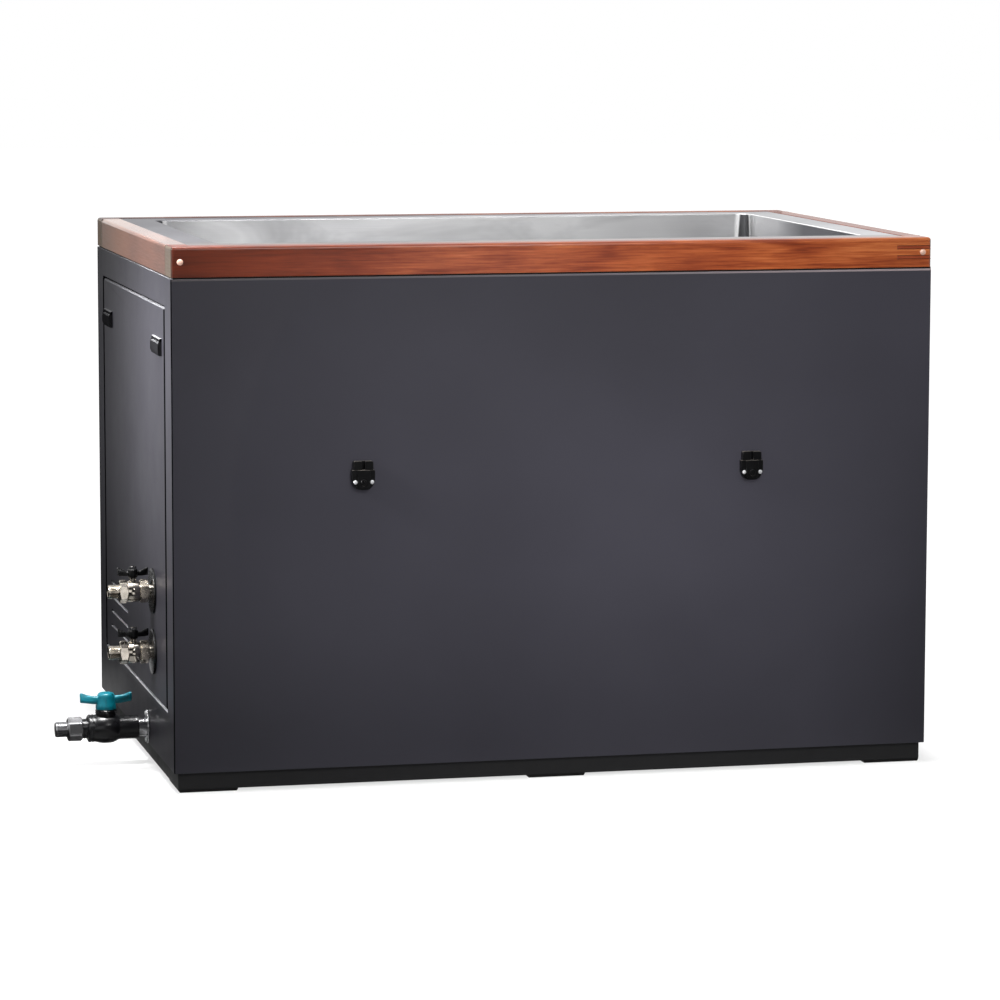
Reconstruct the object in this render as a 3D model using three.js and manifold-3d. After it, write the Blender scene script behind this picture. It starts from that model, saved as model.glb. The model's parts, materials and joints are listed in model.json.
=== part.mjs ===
// Cold plunge tub: a steel basin in an insulated dark cabinet with a hardwood rim,
// two circulation ball valves, a drain valve, two cover locks and a service panel.
// Millimetres. +X right, +Y back, +Z up. The origin is on the floor under the
// middle of the cabinet, and the valves stick out of the left end, towards -X.

import * as THREE from 'three';
import { mergeVertices } from 'three/addons/utils/BufferGeometryUtils.js';
import Module from 'manifold-3d';

const wasm = await Module();
wasm.setup();

// Driving dimensions: cabinet
const BODY_WIDTH = 1500;
const BODY_DEPTH = 1000;
const RIM_TOP = 1040;
const FOOT_HEIGHT = 5;
const FOOT_LENGTH = 116;
const FOOT_CHAMFER = 3;
const BASE_HEIGHT = 33;
const BASE_INSET = 8;
const PANEL_THICKNESS = 8;
const POST_SIZE = 40;
const RIM_SHADOW_GAP = 3;
const SEAM = 0.3;

// Driving dimensions: hardwood rim
const RAIL_WIDTH = 70;
const RAIL_HEIGHT = 58;
const RAIL_ROUND = 6;
const REBATE_WIDTH = 30;
const FINGER_COUNT = 2;
const FINGER_HEIGHT = 7;
const GLUE_GAP = 0.2;
const PLUG_RADIUS = 6.25;
const PLUG_DEPTH = 9;
const PLUG_DOME = 2.5;
const PLUG_SHOULDER_RADIUS = 4.8;
const PLUG_SHOULDER_HEIGHT = 1.75;
const PLUG_END_DISTANCE = 17.5;

// Driving dimensions: steel basin and insulation
const BATH_INSET = 105;
const BASIN_FLOOR = 154;
const BASIN_CORNER = 28;
const BASIN_WALL = 2;
const FLANGE_THICKNESS = 3;
const FLANGE_BELOW_RIM = 1;
const FLANGE_EDGE_GAP = 0.5;
const FOAM_CLEARANCE = 0.5;
const SERVICE_SPACE = 12;
const FOAM_TOP_GAP = 1;

// Driving dimensions: service panel in the left end
const ACCESS_SIDE_MARGIN = 87.5;
const ACCESS_TOP_MARGIN = 61;
const ACCESS_BOTTOM = 147;
const ACCESS_GROOVE = 3.5;
const LIP_OVERLAP = 12;
const LIP_THICKNESS = 4;
const LIP_BORDER = 14;
const VENT_COUNT = 4;
const VENT_PITCH = 30.5;
const VENT_HEIGHT = 4.5;
const VENT_LENGTH = 235;
const VENT_SIDE_INSET = 77;
const VENT_BOTTOM_INSET = 52;

// Driving dimensions: panel latches
const LATCH_SIDE_INSET = 80.5;
const LATCH_TOP_DROP = 60;
const LATCH_WIDTH = 97;
const LATCH_HEIGHT = 33;
const LATCH_PROUD = 8;
const LATCH_TOP_SLOPE = 4;
const LATCH_FRAME = 4;
const LATCH_TOP_WALL = 2;
const PADDLE_THICKNESS = 5;
const PADDLE_CLEARANCE = 0.6;
const PADDLE_PIN_RADIUS = 1.4;
const PADDLE_PIN_LENGTH = 2;
const PADDLE_AXIS_DEPTH = 3;
const PADDLE_AXIS_DROP = 9;
const HOOK_WIDTH = 20;
const HOOK_THICKNESS = 6;
const HOOK_BITE = 9;
const HOOK_SWING = 16;
const HOOK_SPARE = 1;

// Driving dimensions: circulation valves
const VALVE_SIDE_INSET = 167.5;
const RETURN_Z = 354;
const VALVE_PITCH = 120;
const NIPPLE_RADIUS = 13;
const NIPPLE_BORE = 9;
const THREAD_GAP = 0.3;
const NIPPLE_HOLE_SPARE = 1;
const ROSETTE_RADIUS = 44;
const ROSETTE_THICKNESS = 6;
const ROSETTE_EDGE = 1.5;
const FITTING_RADIUS = 32;
const FITTING_FACE = 3;
const FITTING_WALL = 4;
const FITTING_END_INSET = 20;
const FITTING_SOCKET_DEPTH = 19;
const GRATE_BAR = 3;
const NOZZLE_LENGTH = 6;
const DEFLECTOR_RADIUS = 5;
const CONNECTOR_START = 10;
const CONNECTOR_LENGTH = 17;
const VALVE_ACROSS_FLATS = 40;
const VALVE_GROOVE = 1;
const BARREL_RADIUS = 20.5;
const BARREL_LENGTH = 23;
const HEX_LENGTH = 16;
const MALE_RADIUS = 14;
const MALE_LENGTH = 22;
const VALVE_BALL_RADIUS = 13;
const VALVE_BORE = 8.5;
const BALL_CLEARANCE = 0.8;
const BALL_SLOT_FLOOR = 1;
const RETAINER_WALL = 2.6;
const RETAINER_LENGTH = 5;
const VALVE_STEM_RADIUS = 4;
const STEM_PROUD = 1;
const BONNET_RADIUS = 8.5;
const BONNET_TOP = 27;
const HANDLE_HUB_RADIUS = 10;
const HANDLE_HUB_HEIGHT = 17;
const HANDLE_SPAN = 60;
const HANDLE_WING_HEIGHT = 15;
const HANDLE_WING_THICKNESS = 6;
const HANDLE_TIP_RISE = 6;
const HANDLE_NUT_FLATS = 13;
const HANDLE_NUT_HEIGHT = 5;

// Driving dimensions: drain line
const DRAIN_FROM_FRONT = 333;
const DRAIN_Z = 72;
const SUMP_INSET = 85;
const PIPE_RADIUS = 19;
const PIPE_WALL = 3;
const PIPE_HOLE_SPARE = 1;
const PIPE_CHANNEL_SPARE = 9;
const PIPE_INSERTION = 24;
const PIPE_SHOWING = 21;
const PIPE_TOP_GAP = 2;
const STRAINER_RADIUS = 38;
const STRAINER_THICKNESS = 3;
const STRAINER_TAIL = 30;
const STRAINER_HOLES = 8;
const STRAINER_HOLE_RADIUS = 2.4;
const STRAINER_HOLE_EDGE = 1;
const DRAIN_FLANGE_HEIGHT = 68;
const DRAIN_FLANGE_WIDTH = 50;
const DRAIN_FLANGE_THICKNESS = 4;
const DRAIN_SCREW_RADIUS = 4.5;
const DRAIN_SCREW_HEAD = 3;
const DRAIN_SCREW_EDGE = 1;
const DRAIN_SCREW_SHANK = 2;
const DRAIN_SCREW_LENGTH = 9;
const SOCKET_RADIUS = 23.5;
const SOCKET_LENGTH = 40;
const BULGE_RADIUS = 30;
const BULGE_STEPS = 6;
const BULGE_LENGTH = 46;
const SHOULDER_RADIUS = 26;
const SHOULDER_LENGTH = 14;
const DRAIN_BALL_RADIUS = 20;
const DRAIN_BORE = 15;
const DRAIN_BALL_BORE = 14;
const DRAIN_STEM_RADIUS = 6;
const NECK_RADIUS = 18;
const NECK_TOP = 38;
const COLLAR_RADIUS = 19.5;
const COLLAR_LENGTH = 11;
const COLLAR_WALL = 3;
const COLLAR_BORE = 13;
const COLLAR_TIP = 12;
const DRAIN_HEX_FLATS = 42;
const DRAIN_HEX_LENGTH = 29;
const OUTLET_RADIUS = 15.5;
const OUTLET_LENGTH = 24;
const OUTLET_BORE = 11;
const DRAIN_HUB_RADIUS = 17.5;
const DRAIN_HUB_HEIGHT = 33;
const HUB_ROOF = 11;
const DRAIN_HANDLE_SPAN = 102;
const DRAIN_WING_HEIGHT = 14;
const DRAIN_WING_THICKNESS = 11;
const DRAIN_WING_DROP = 5;
const DRAIN_TIP_RISE = 5;

// Driving dimensions: cover locks on the front
const LOCK_SIDE_INSET = 365;
const LOCK_BELOW_RIM = 470;
const LOCK_HEIGHT = 60;
const LOCK_WIDTH = 44;
const LOCK_DEPTH = 16;
const LOCK_CHIN = 26;
const LOCK_CHIN_HEIGHT = 12;
const LOCK_HEAD_HEIGHT = 22;
const LOCK_HEAD_WIDTH = 38;
const LOCK_HEAD_DEPTH = 12;
const LOCK_SLOT_WIDTH = 28;
const LOCK_SLOT_THICKNESS = 6;
const LOCK_SLOT_DEEPER = 2;
const LOCK_KEY_HEIGHT = 18;
const LOCK_KEY_RADIUS = 6;
const LOCK_KEY_DEPTH = 12;
const LOCK_KEY_PROUD = 1;
const KEY_SLOT_LENGTH = 8;
const KEY_SLOT_WIDTH = 1.6;
const KEY_SLOT_DEPTH = 3;

// How finely round things are cut, and the overshoot of a cutting tool
const ROUND = 20;
const SMALL_ROUND = 12;
const CORNER_STEPS = 5;
const WELD = 1e-4;
const OVERSHOOT = 1;

// Levels and planes worked out from the sizes above
const halfWidth = BODY_WIDTH / 2;
const halfDepth = BODY_DEPTH / 2;
const baseTop = FOOT_HEIGHT + BASE_HEIGHT;
const railBottom = RIM_TOP - RAIL_HEIGHT;
const panelTop = railBottom - RIM_SHADOW_GAP;
const panelInnerX = halfWidth - PANEL_THICKNESS;
const panelInnerY = halfDepth - PANEL_THICKNESS;
const frameInnerX = panelInnerX - POST_SIZE;
const frameInnerY = panelInnerY - POST_SIZE;
const flangeTop = RIM_TOP - FLANGE_BELOW_RIM;
const rebateFloor = flangeTop - FLANGE_THICKNESS;
const rebateX = halfWidth - RAIL_WIDTH + REBATE_WIDTH;
const rebateY = halfDepth - RAIL_WIDTH + REBATE_WIDTH;
const basinX = halfWidth - BATH_INSET;
const basinY = halfDepth - BATH_INSET;
const basinUnder = BASIN_FLOOR - BASIN_WALL;
const basinOuterX = basinX + BASIN_WALL;
const basinOuterY = basinY + BASIN_WALL;
const foamLeft = SERVICE_SPACE - frameInnerX;
const accessTop = panelTop - ACCESS_TOP_MARGIN;
const accessHalf = halfDepth - ACCESS_SIDE_MARGIN;
const accessBack = -panelInnerX;
const faceX = -halfWidth;
const latchSpread = accessHalf - LATCH_SIDE_INSET;
const latchTop = accessTop - LATCH_TOP_DROP;
const latchBottom = latchTop - LATCH_HEIGHT;
const latchAxisZ = latchTop - PADDLE_AXIS_DROP;
const ventEnd = accessHalf - VENT_SIDE_INSET;
const valveY = VALVE_SIDE_INSET - accessHalf;
const drainY = DRAIN_FROM_FRONT - halfDepth;
const sumpX = SUMP_INSET - basinX;
const lockSpread = halfWidth - LOCK_SIDE_INSET;
const lockBottom = RIM_TOP - LOCK_BELOW_RIM;
const fittingTail = BATH_INSET - FITTING_END_INSET;
const suctionZ = RETURN_Z - VALVE_PITCH;
const valveLevels = [RETURN_Z, suctionZ];
const fittingSocket = NIPPLE_RADIUS + THREAD_GAP;
const fittingTailRadius = fittingSocket + FITTING_WALL;
const strainerTail = PIPE_RADIUS - PIPE_WALL - SEAM;
const drainScrewOffset = (PIPE_RADIUS + DRAIN_FLANGE_HEIGHT / 2) / 2;

// Finishes
function finish(color, roughness, metalness) {
  return new THREE.MeshStandardMaterial({ color, roughness, metalness });
}

const cabinetPaint = finish(0x403f47, 0.55, 0.1);
const basePlastic = finish(0x1c1c1e, 0.6, 0);
const footRubber = finish(0x141414, 0.85, 0);
const frameSteel = finish(0x6d7074, 0.5, 0.8);
const stainless = finish(0xc9cbcc, 0.3, 1);
const foam = finish(0xe2d6a4, 0.95, 0);
const hardwood = finish(0x95502c, 0.45, 0);
const copper = finish(0xe0a186, 0.35, 0.9);
const nickel = finish(0xc4bdb0, 0.22, 1);
const blackPlastic = finish(0x1b1b1d, 0.4, 0);
const pvc = finish(0x232326, 0.4, 0);
const teal = finish(0x047f9b, 0.35, 0);
const zinc = finish(0xd5d6d8, 0.3, 1);

// Closed solids from three.js geometry, and cuts and joins of them

function signedVolume(positions, triangles) {
  const [a, b, c] = [new THREE.Vector3(), new THREE.Vector3(), new THREE.Vector3()];
  let volume = 0;
  for (let i = 0; i < triangles.length; i += 3) {
    a.fromArray(positions, 3 * triangles[i]);
    b.fromArray(positions, 3 * triangles[i + 1]);
    c.fromArray(positions, 3 * triangles[i + 2]);
    volume += a.dot(b.cross(c)) / 6;
  }
  return volume;
}

function solid(geometry) {
  const bare = geometry.clone();
  bare.deleteAttribute('normal');
  bare.deleteAttribute('uv');
  const welded = mergeVertices(bare, WELD);
  const vertProperties = new Float32Array(welded.attributes.position.array);
  const index = welded.index.array;
  const triangles = [];
  for (let i = 0; i < index.length; i += 3) {
    const [a, b, c] = [index[i], index[i + 1], index[i + 2]];
    if (a !== b && b !== c && c !== a) triangles.push(a, b, c);
  }
  if (signedVolume(vertProperties, triangles) < 0) triangles.reverse();
  const triVerts = new Uint32Array(triangles);
  return new wasm.Manifold(new wasm.Mesh({ numProp: 3, vertProperties, triVerts }));
}

function block(x0, x1, y0, y1, z0, z1) {
  const geometry = new THREE.BoxGeometry(x1 - x0, y1 - y0, z1 - z0);
  return solid(geometry.translate((x0 + x1) / 2, (y0 + y1) / 2, (z0 + z1) / 2));
}

function outline(points) {
  return new THREE.Shape(points.map(([u, v]) => new THREE.Vector2(u, v)));
}

function roundedRectangle(width, height, radius) {
  const [w, h] = [width / 2, height / 2];
  const shape = new THREE.Shape();
  shape.absarc(w - radius, h - radius, radius, 0, Math.PI / 2);
  shape.absarc(radius - w, h - radius, radius, Math.PI / 2, Math.PI);
  shape.absarc(radius - w, radius - h, radius, Math.PI, 1.5 * Math.PI);
  shape.absarc(w - radius, radius - h, radius, 1.5 * Math.PI, 2 * Math.PI);
  return shape;
}

function extrude(shape, depth) {
  const settings = { depth, bevelEnabled: false, curveSegments: CORNER_STEPS };
  return new THREE.ExtrudeGeometry(shape, settings);
}

function basis(u, v, w) {
  return new THREE.Matrix4().makeBasis(
    new THREE.Vector3(...u), new THREE.Vector3(...v), new THREE.Vector3(...w));
}

// An outline in (x, y) between two levels
function prismZ(shape, z0, z1) {
  return solid(extrude(shape, z1 - z0).translate(0, 0, z0));
}

// An outline in (x, z) between two depths
function prismY(shape, y0, y1) {
  const geometry = extrude(shape, y1 - y0);
  return solid(geometry.applyMatrix4(basis([1, 0, 0], [0, 0, 1], [0, -1, 0])).translate(0, y1, 0));
}

// An outline in (y, z) between two ends
function prismX(shape, x0, x1) {
  const geometry = extrude(shape, x1 - x0);
  return solid(geometry.applyMatrix4(basis([0, 1, 0], [0, 0, 1], [1, 0, 0])).translate(x0, 0, 0));
}

// A turned piece from a profile of [radius, distance] pairs: upright, or lying along -X or -Y
function lathe(profile, segments) {
  const points = profile.map(([radius, distance]) => new THREE.Vector2(radius, distance));
  return new THREE.LatheGeometry(points, segments).rotateX(Math.PI / 2);
}

function turnedUp(profile, x, y, z, segments = ROUND) {
  return solid(lathe(profile, segments).translate(x, y, z));
}

function turnedLeft(profile, x, y, z, segments = ROUND) {
  return solid(lathe(profile, segments).rotateY(-Math.PI / 2).translate(x, y, z));
}

function turnedFront(profile, x, y, z, segments = ROUND) {
  return solid(lathe(profile, segments).rotateX(Math.PI / 2).translate(x, y, z));
}

function rod(radius, from, to) {
  return [[0, from], [radius, from], [radius, to], [0, to]];
}

function ring(inner, outer, from, to) {
  return [[inner, from], [outer, from], [outer, to], [inner, to], [inner, from]];
}

function hexRadius(acrossFlats) {
  return acrossFlats / Math.sqrt(3);
}

function ballProfile(radius) {
  const points = [];
  const steps = SMALL_ROUND / 2;
  for (let i = 0; i <= steps; i += 1) {
    const angle = Math.PI * (i / steps - 0.5);
    const distance = i % steps === 0 ? 0 : radius * Math.cos(angle);
    points.push([distance, radius * Math.sin(angle)]);
  }
  return points;
}

const tub = new THREE.Group();

function add(name, body, material) {
  const mesh = body.getMesh();
  const geometry = new THREE.BufferGeometry();
  geometry.setAttribute('position', new THREE.BufferAttribute(mesh.vertProperties, 3));
  geometry.setIndex(new THREE.BufferAttribute(mesh.triVerts, 1));
  geometry.computeVertexNormals();
  const piece = new THREE.Mesh(geometry, material);
  piece.name = name;
  tub.add(piece);
}

function cutAll(body, tools) {
  return tools.reduce((left, tool) => left.subtract(tool), body);
}

function joinAll(bodies) {
  return bodies.reduce((joined, body) => joined.add(body));
}

function between(a, b) {
  return [Math.min(a, b), Math.max(a, b)];
}

const SIDES = [['left', -1], ['right', 1]];
const ENDS = [['front', -1], ['rear', 1]];

// Base: feet, a runner under the middle, and the base slab

function footOutline(centre) {
  const half = FOOT_LENGTH / 2;
  return outline([
    [centre - half + FOOT_CHAMFER, 0], [centre + half - FOOT_CHAMFER, 0],
    [centre + half, FOOT_HEIGHT], [centre - half, FOOT_HEIGHT],
  ]);
}

function addBase() {
  const baseX = halfWidth - BASE_INSET;
  const baseY = halfDepth - BASE_INSET;
  const footX = baseX - FOOT_LENGTH / 2;
  for (const [end, frontBack] of ENDS) {
    for (const [side, leftRight] of SIDES) {
      const span = between(frontBack * baseY, frontBack * (baseY - FOOT_LENGTH));
      add(`foot_${end}_${side}`, prismY(footOutline(leftRight * footX), ...span), footRubber);
    }
  }
  add('centre_runner', prismY(footOutline(0), -baseY, baseY), footRubber);
  add('base_slab', block(-baseX, baseX, -baseY, baseY, FOOT_HEIGHT, baseTop), basePlastic);
}

// Cabinet: welded frame, fixed panels and the foam round the basin

function addFrame() {
  const bodies = [];
  for (const [, x] of SIDES) {
    for (const [, y] of ENDS) {
      const spanX = between(x * frameInnerX, x * panelInnerX);
      const spanY = between(y * frameInnerY, y * panelInnerY);
      bodies.push(block(...spanX, ...spanY, baseTop, railBottom));
    }
  }
  const ringBottom = railBottom - POST_SIZE;
  const outer = block(-panelInnerX, panelInnerX, -panelInnerY, panelInnerY, ringBottom, railBottom);
  const hole = block(
    -frameInnerX, frameInnerX, -frameInnerY, frameInnerY, ringBottom - OVERSHOOT, railBottom + OVERSHOOT);
  add('cabinet_frame', joinAll([outer.subtract(hole), ...bodies]), frameSteel);
}

function addPanels() {
  const sideY = panelInnerY - SEAM;
  const frontY = [-halfDepth, -panelInnerY];
  add('front_panel', block(-halfWidth, halfWidth, ...frontY, baseTop, panelTop), cabinetPaint);
  add('rear_panel', block(-halfWidth, halfWidth, panelInnerY, halfDepth, baseTop, panelTop), cabinetPaint);
  add('right_panel', block(panelInnerX, halfWidth, -sideY, sideY, baseTop, panelTop), cabinetPaint);

  const windowY = accessHalf + ACCESS_GROOVE;
  const windowBottom = ACCESS_BOTTOM - ACCESS_GROOVE;
  const windowTop = accessTop + ACCESS_GROOVE;
  const plate = block(faceX, accessBack, -sideY, sideY, baseTop, panelTop);
  const window = block(
    faceX - OVERSHOOT, accessBack + OVERSHOOT, -windowY, windowY, windowBottom, windowTop);
  const lip = block(
    accessBack, accessBack + LIP_THICKNESS, -windowY - LIP_BORDER, windowY + LIP_BORDER,
    windowBottom - LIP_BORDER, windowTop + LIP_BORDER);
  const lipY = accessHalf - LIP_OVERLAP;
  const lipWindow = block(
    accessBack - OVERSHOOT, accessBack + LIP_THICKNESS + OVERSHOOT, -lipY, lipY,
    ACCESS_BOTTOM + LIP_OVERLAP, accessTop - LIP_OVERLAP);
  const pipeHole = turnedLeft(
    rod(PIPE_RADIUS + PIPE_HOLE_SPARE, -PANEL_THICKNESS - OVERSHOOT, OVERSHOOT), faceX, drainY, DRAIN_Z);
  const screwHoles = [-1, 1].map((way) => turnedLeft(
    rod(DRAIN_SCREW_SHANK + SEAM, -PANEL_THICKNESS - OVERSHOOT, OVERSHOOT),
    faceX, drainY, DRAIN_Z + way * drainScrewOffset, SMALL_ROUND));
  const surround = cutAll(plate.subtract(window).add(lip), [lipWindow, pipeHole, ...screwHoles]);
  add('left_surround', surround, cabinetPaint);
}

function addFoam() {
  const body = block(
    foamLeft, frameInnerX - FOAM_CLEARANCE, FOAM_CLEARANCE - frameInnerY, frameInnerY - FOAM_CLEARANCE,
    baseTop, railBottom - FOAM_TOP_GAP);
  const room = prismZ(
    roundedRectangle(
      2 * (basinOuterX + FOAM_CLEARANCE), 2 * (basinOuterY + FOAM_CLEARANCE),
      BASIN_CORNER + BASIN_WALL + FOAM_CLEARANCE),
    basinUnder, railBottom + OVERSHOOT);
  const channel = PIPE_RADIUS + PIPE_CHANNEL_SPARE;
  const wallHole = FITTING_RADIUS;
  const across = [0, -basinX - foamLeft + OVERSHOOT];
  const tools = [
    room,
    ...valveLevels.map((z) => turnedLeft(rod(wallHole, ...across), -basinX, valveY, z)),
    turnedLeft(rod(channel, 0, sumpX - foamLeft + OVERSHOOT), sumpX, drainY, DRAIN_Z),
    turnedUp(rod(channel, -channel, basinUnder - DRAIN_Z + OVERSHOOT), sumpX, drainY, DRAIN_Z),
  ];
  add('foam_jacket', cutAll(body, tools), foam);
}

// Basin: a welded steel trough with a flat flange that lies in the rebate of the rim

function addBasin() {
  const wall = prismZ(
    roundedRectangle(2 * basinOuterX, 2 * basinOuterY, BASIN_CORNER + BASIN_WALL), basinUnder, flangeTop);
  const flangeX = rebateX - FLANGE_EDGE_GAP;
  const flangeY = rebateY - FLANGE_EDGE_GAP;
  const flange = block(-flangeX, flangeX, -flangeY, flangeY, rebateFloor, flangeTop);
  const inside = prismZ(
    roundedRectangle(2 * basinX, 2 * basinY, BASIN_CORNER), BASIN_FLOOR, flangeTop + OVERSHOOT);
  const tailRadius = fittingTailRadius + SEAM;
  const through = [-OVERSHOOT, BASIN_WALL + OVERSHOOT];
  const tools = [
    inside,
    ...valveLevels.map((z) => turnedLeft(rod(tailRadius, ...through), -basinX, valveY, z)),
    turnedUp(rod(strainerTail + SEAM, ...through), sumpX, drainY, basinUnder),
  ];
  add('basin', cutAll(wall.add(flange), tools), stainless);
}

// Rim: four hardwood rails, comb joints at the right end, lapped ends at the left

function railOutline(outerFace) {
  const away = -Math.sign(outerFace);
  const inner = outerFace + away * RAIL_WIDTH;
  const shape = new THREE.Shape();
  shape.moveTo(inner, railBottom);
  shape.lineTo(inner, RIM_TOP);
  shape.lineTo(outerFace + away * RAIL_ROUND, RIM_TOP);
  shape.quadraticCurveTo(outerFace, RIM_TOP, outerFace, RIM_TOP - RAIL_ROUND);
  shape.lineTo(outerFace, railBottom);
  shape.closePath();
  return shape;
}

function fingerBlocks(yFrom, yTo, spare) {
  const blocks = [];
  for (let i = 1; i <= FINGER_COUNT; i += 1) {
    const middle = railBottom + (RAIL_HEIGHT * i) / (FINGER_COUNT + 1);
    const half = FINGER_HEIGHT / 2 + spare;
    const spanX = [halfWidth - RAIL_WIDTH - spare, halfWidth + spare];
    blocks.push(block(...spanX, yFrom, yTo, middle - half, middle + half));
  }
  return blocks;
}

function plugPlace(x, y) {
  return [x * (halfWidth - PLUG_END_DISTANCE), y * halfDepth, railBottom + RAIL_HEIGHT / 2];
}

function plugHoles() {
  const holes = [];
  for (const [, y] of ENDS) {
    for (const [, x] of SIDES) {
      const from = y < 0 ? -PLUG_DEPTH - SEAM : -OVERSHOOT;
      const to = y < 0 ? OVERSHOOT : PLUG_DEPTH + SEAM;
      holes.push(turnedFront(rod(PLUG_RADIUS, from, to), ...plugPlace(x, y), SMALL_ROUND));
    }
  }
  return holes;
}

function addRim() {
  const rebate = block(-rebateX, rebateX, -rebateY, rebateY, rebateFloor, RIM_TOP + OVERSHOOT);
  const holes = plugHoles();
  const buttY = halfDepth - RAIL_WIDTH - GLUE_GAP;
  for (const [end, y] of ENDS) {
    const beam = prismX(railOutline(y * halfDepth), -halfWidth, halfWidth);
    const span = between(y * (halfDepth - RAIL_WIDTH), y * halfDepth);
    const slots = fingerBlocks(span[0] - OVERSHOOT, span[1] + OVERSHOOT, GLUE_GAP);
    add(`rim_${end}`, cutAll(beam, [rebate, ...slots, ...holes]), hardwood);
  }
  for (const [side, x] of SIDES) {
    let beam = sideBeam(x, buttY);
    if (side === 'right') {
      beam = joinAll([beam, ...fingerBlocks(-halfDepth, -buttY + OVERSHOOT, 0)]);
      beam = joinAll([beam, ...fingerBlocks(buttY - OVERSHOOT, halfDepth, 0)]);
    }
    add(`rim_${side}`, cutAll(beam, [rebate, ...holes]), hardwood);
  }
  addPlugs();
}

function sideBeam(way, halfLength) {
  return prismY(railOutline(way * halfWidth), -halfLength, halfLength);
}

function addPlugs() {
  const shank = PLUG_RADIUS - SEAM;
  const profile = [
    [0, -PLUG_DEPTH], [shank, -PLUG_DEPTH], [shank, SEAM],
    [PLUG_SHOULDER_RADIUS, PLUG_SHOULDER_HEIGHT], [0, PLUG_DOME],
  ];
  for (const [end, y] of ENDS) {
    for (const [side, x] of SIDES) {
      const turned = profile.map(([radius, distance]) => [radius, y < 0 ? distance : -distance]);
      add(`rim_plug_${end}_${side}`, turnedFront(turned, ...plugPlace(x, y), SMALL_ROUND), copper);
    }
  }
}

// Service panel: lies on the lip of the surround, with vents, pipe holes and latch holes

function addAccessPanel() {
  const plate = block(faceX, accessBack, -accessHalf, accessHalf, ACCESS_BOTTOM, accessTop);
  const through = [-PANEL_THICKNESS - OVERSHOOT, OVERSHOOT];
  const tools = valveLevels.map(
    (z) => turnedLeft(rod(NIPPLE_RADIUS + NIPPLE_HOLE_SPARE, ...through), faceX, valveY, z));
  for (let i = 0; i < VENT_COUNT; i += 1) {
    const z = ACCESS_BOTTOM + VENT_BOTTOM_INSET + i * VENT_PITCH;
    tools.push(block(
      faceX - OVERSHOOT, accessBack + OVERSHOOT, ventEnd - VENT_LENGTH, ventEnd,
      z - VENT_HEIGHT / 2, z + VENT_HEIGHT / 2));
  }
  for (const [, way] of ENDS) {
    const middle = way * latchSpread;
    const hookHalf = HOOK_WIDTH / 2 + HOOK_SPARE;
    tools.push(block(
      faceX - OVERSHOOT, accessBack + OVERSHOOT, middle - hookHalf, middle + hookHalf,
      latchAxisZ - HOOK_SWING, latchAxisZ + PADDLE_PIN_RADIUS + HOOK_SPARE));
  }
  add('access_panel', cutAll(plate, tools), cabinetPaint);
}

// Panel latches: a raised housing, and a paddle on pins whose hook grips the lip from behind

function latchHousing(y) {
  const half = LATCH_WIDTH / 2;
  const side = new THREE.Shape();
  side.moveTo(faceX, latchBottom);
  side.lineTo(faceX, latchTop);
  side.lineTo(faceX - LATCH_PROUD, latchTop - LATCH_TOP_SLOPE);
  side.lineTo(faceX - LATCH_PROUD, latchBottom);
  side.closePath();
  const body = prismY(side, y - half, y + half);
  const roomHalf = half - LATCH_FRAME;
  const room = block(
    faceX - LATCH_PROUD - OVERSHOOT, faceX + OVERSHOOT, y - roomHalf, y + roomHalf,
    latchBottom - OVERSHOOT, latchTop - LATCH_TOP_SLOPE - LATCH_TOP_WALL);
  const pinHalf = roomHalf + PADDLE_PIN_LENGTH + SEAM;
  const pins = rod(PADDLE_PIN_RADIUS + SEAM, -pinHalf, pinHalf);
  const axisX = faceX - PADDLE_AXIS_DEPTH;
  return cutAll(body, [room, turnedFront(pins, axisX, y, latchAxisZ, SMALL_ROUND)]);
}

function latchPaddle(y) {
  const half = LATCH_WIDTH / 2 - LATCH_FRAME - PADDLE_CLEARANCE;
  const axisX = faceX - PADDLE_AXIS_DEPTH;
  const front = axisX - PADDLE_THICKNESS / 2;
  const plate = block(
    front, front + PADDLE_THICKNESS, y - half, y + half, latchBottom, latchAxisZ + PADDLE_PIN_RADIUS);
  const lipBack = accessBack + LIP_THICKNESS + SEAM;
  const spanY = [y - HOOK_WIDTH / 2, y + HOOK_WIDTH / 2];
  const armTop = latchAxisZ + PADDLE_PIN_RADIUS;
  const armBottom = armTop - HOOK_THICKNESS;
  const hookTop = accessTop - LIP_OVERLAP + HOOK_BITE;
  const arm = block(axisX, lipBack + HOOK_THICKNESS, ...spanY, armBottom, armTop);
  const hook = block(lipBack, lipBack + HOOK_THICKNESS, ...spanY, armBottom, hookTop);
  const pinHalf = LATCH_WIDTH / 2 - LATCH_FRAME + PADDLE_PIN_LENGTH;
  const pin = turnedFront(rod(PADDLE_PIN_RADIUS, -pinHalf, pinHalf), axisX, y, latchAxisZ, SMALL_ROUND);
  return joinAll([plate, arm, hook, pin]);
}

function addLatches() {
  for (const [end, way] of ENDS) {
    add(`latch_housing_${end}`, latchHousing(way * latchSpread), blackPlastic);
    add(`latch_paddle_${end}`, latchPaddle(way * latchSpread), blackPlastic);
  }
}

// Circulation valves: distances along the pipe are counted outwards from the panel face

const socketFloor = fittingTail - FITTING_SOCKET_DEPTH;
const connectorEnd = CONNECTOR_START + CONNECTOR_LENGTH;
const nippleEnd = connectorEnd - RETAINER_LENGTH;
const barrelStart = connectorEnd + VALVE_GROOVE;
const hexStart = barrelStart + BARREL_LENGTH;
const maleStart = hexStart + HEX_LENGTH;
const valveEnd = maleStart + MALE_LENGTH;
const valveBallAt = connectorEnd + VALVE_BALL_RADIUS;
const chamberRadius = VALVE_BALL_RADIUS + BALL_CLEARANCE;
const retainerOuter = chamberRadius + RETAINER_WALL;
const hubTop = BONNET_TOP + HANDLE_HUB_HEIGHT;
const handleNutTop = hubTop + HANDLE_NUT_HEIGHT;

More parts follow.
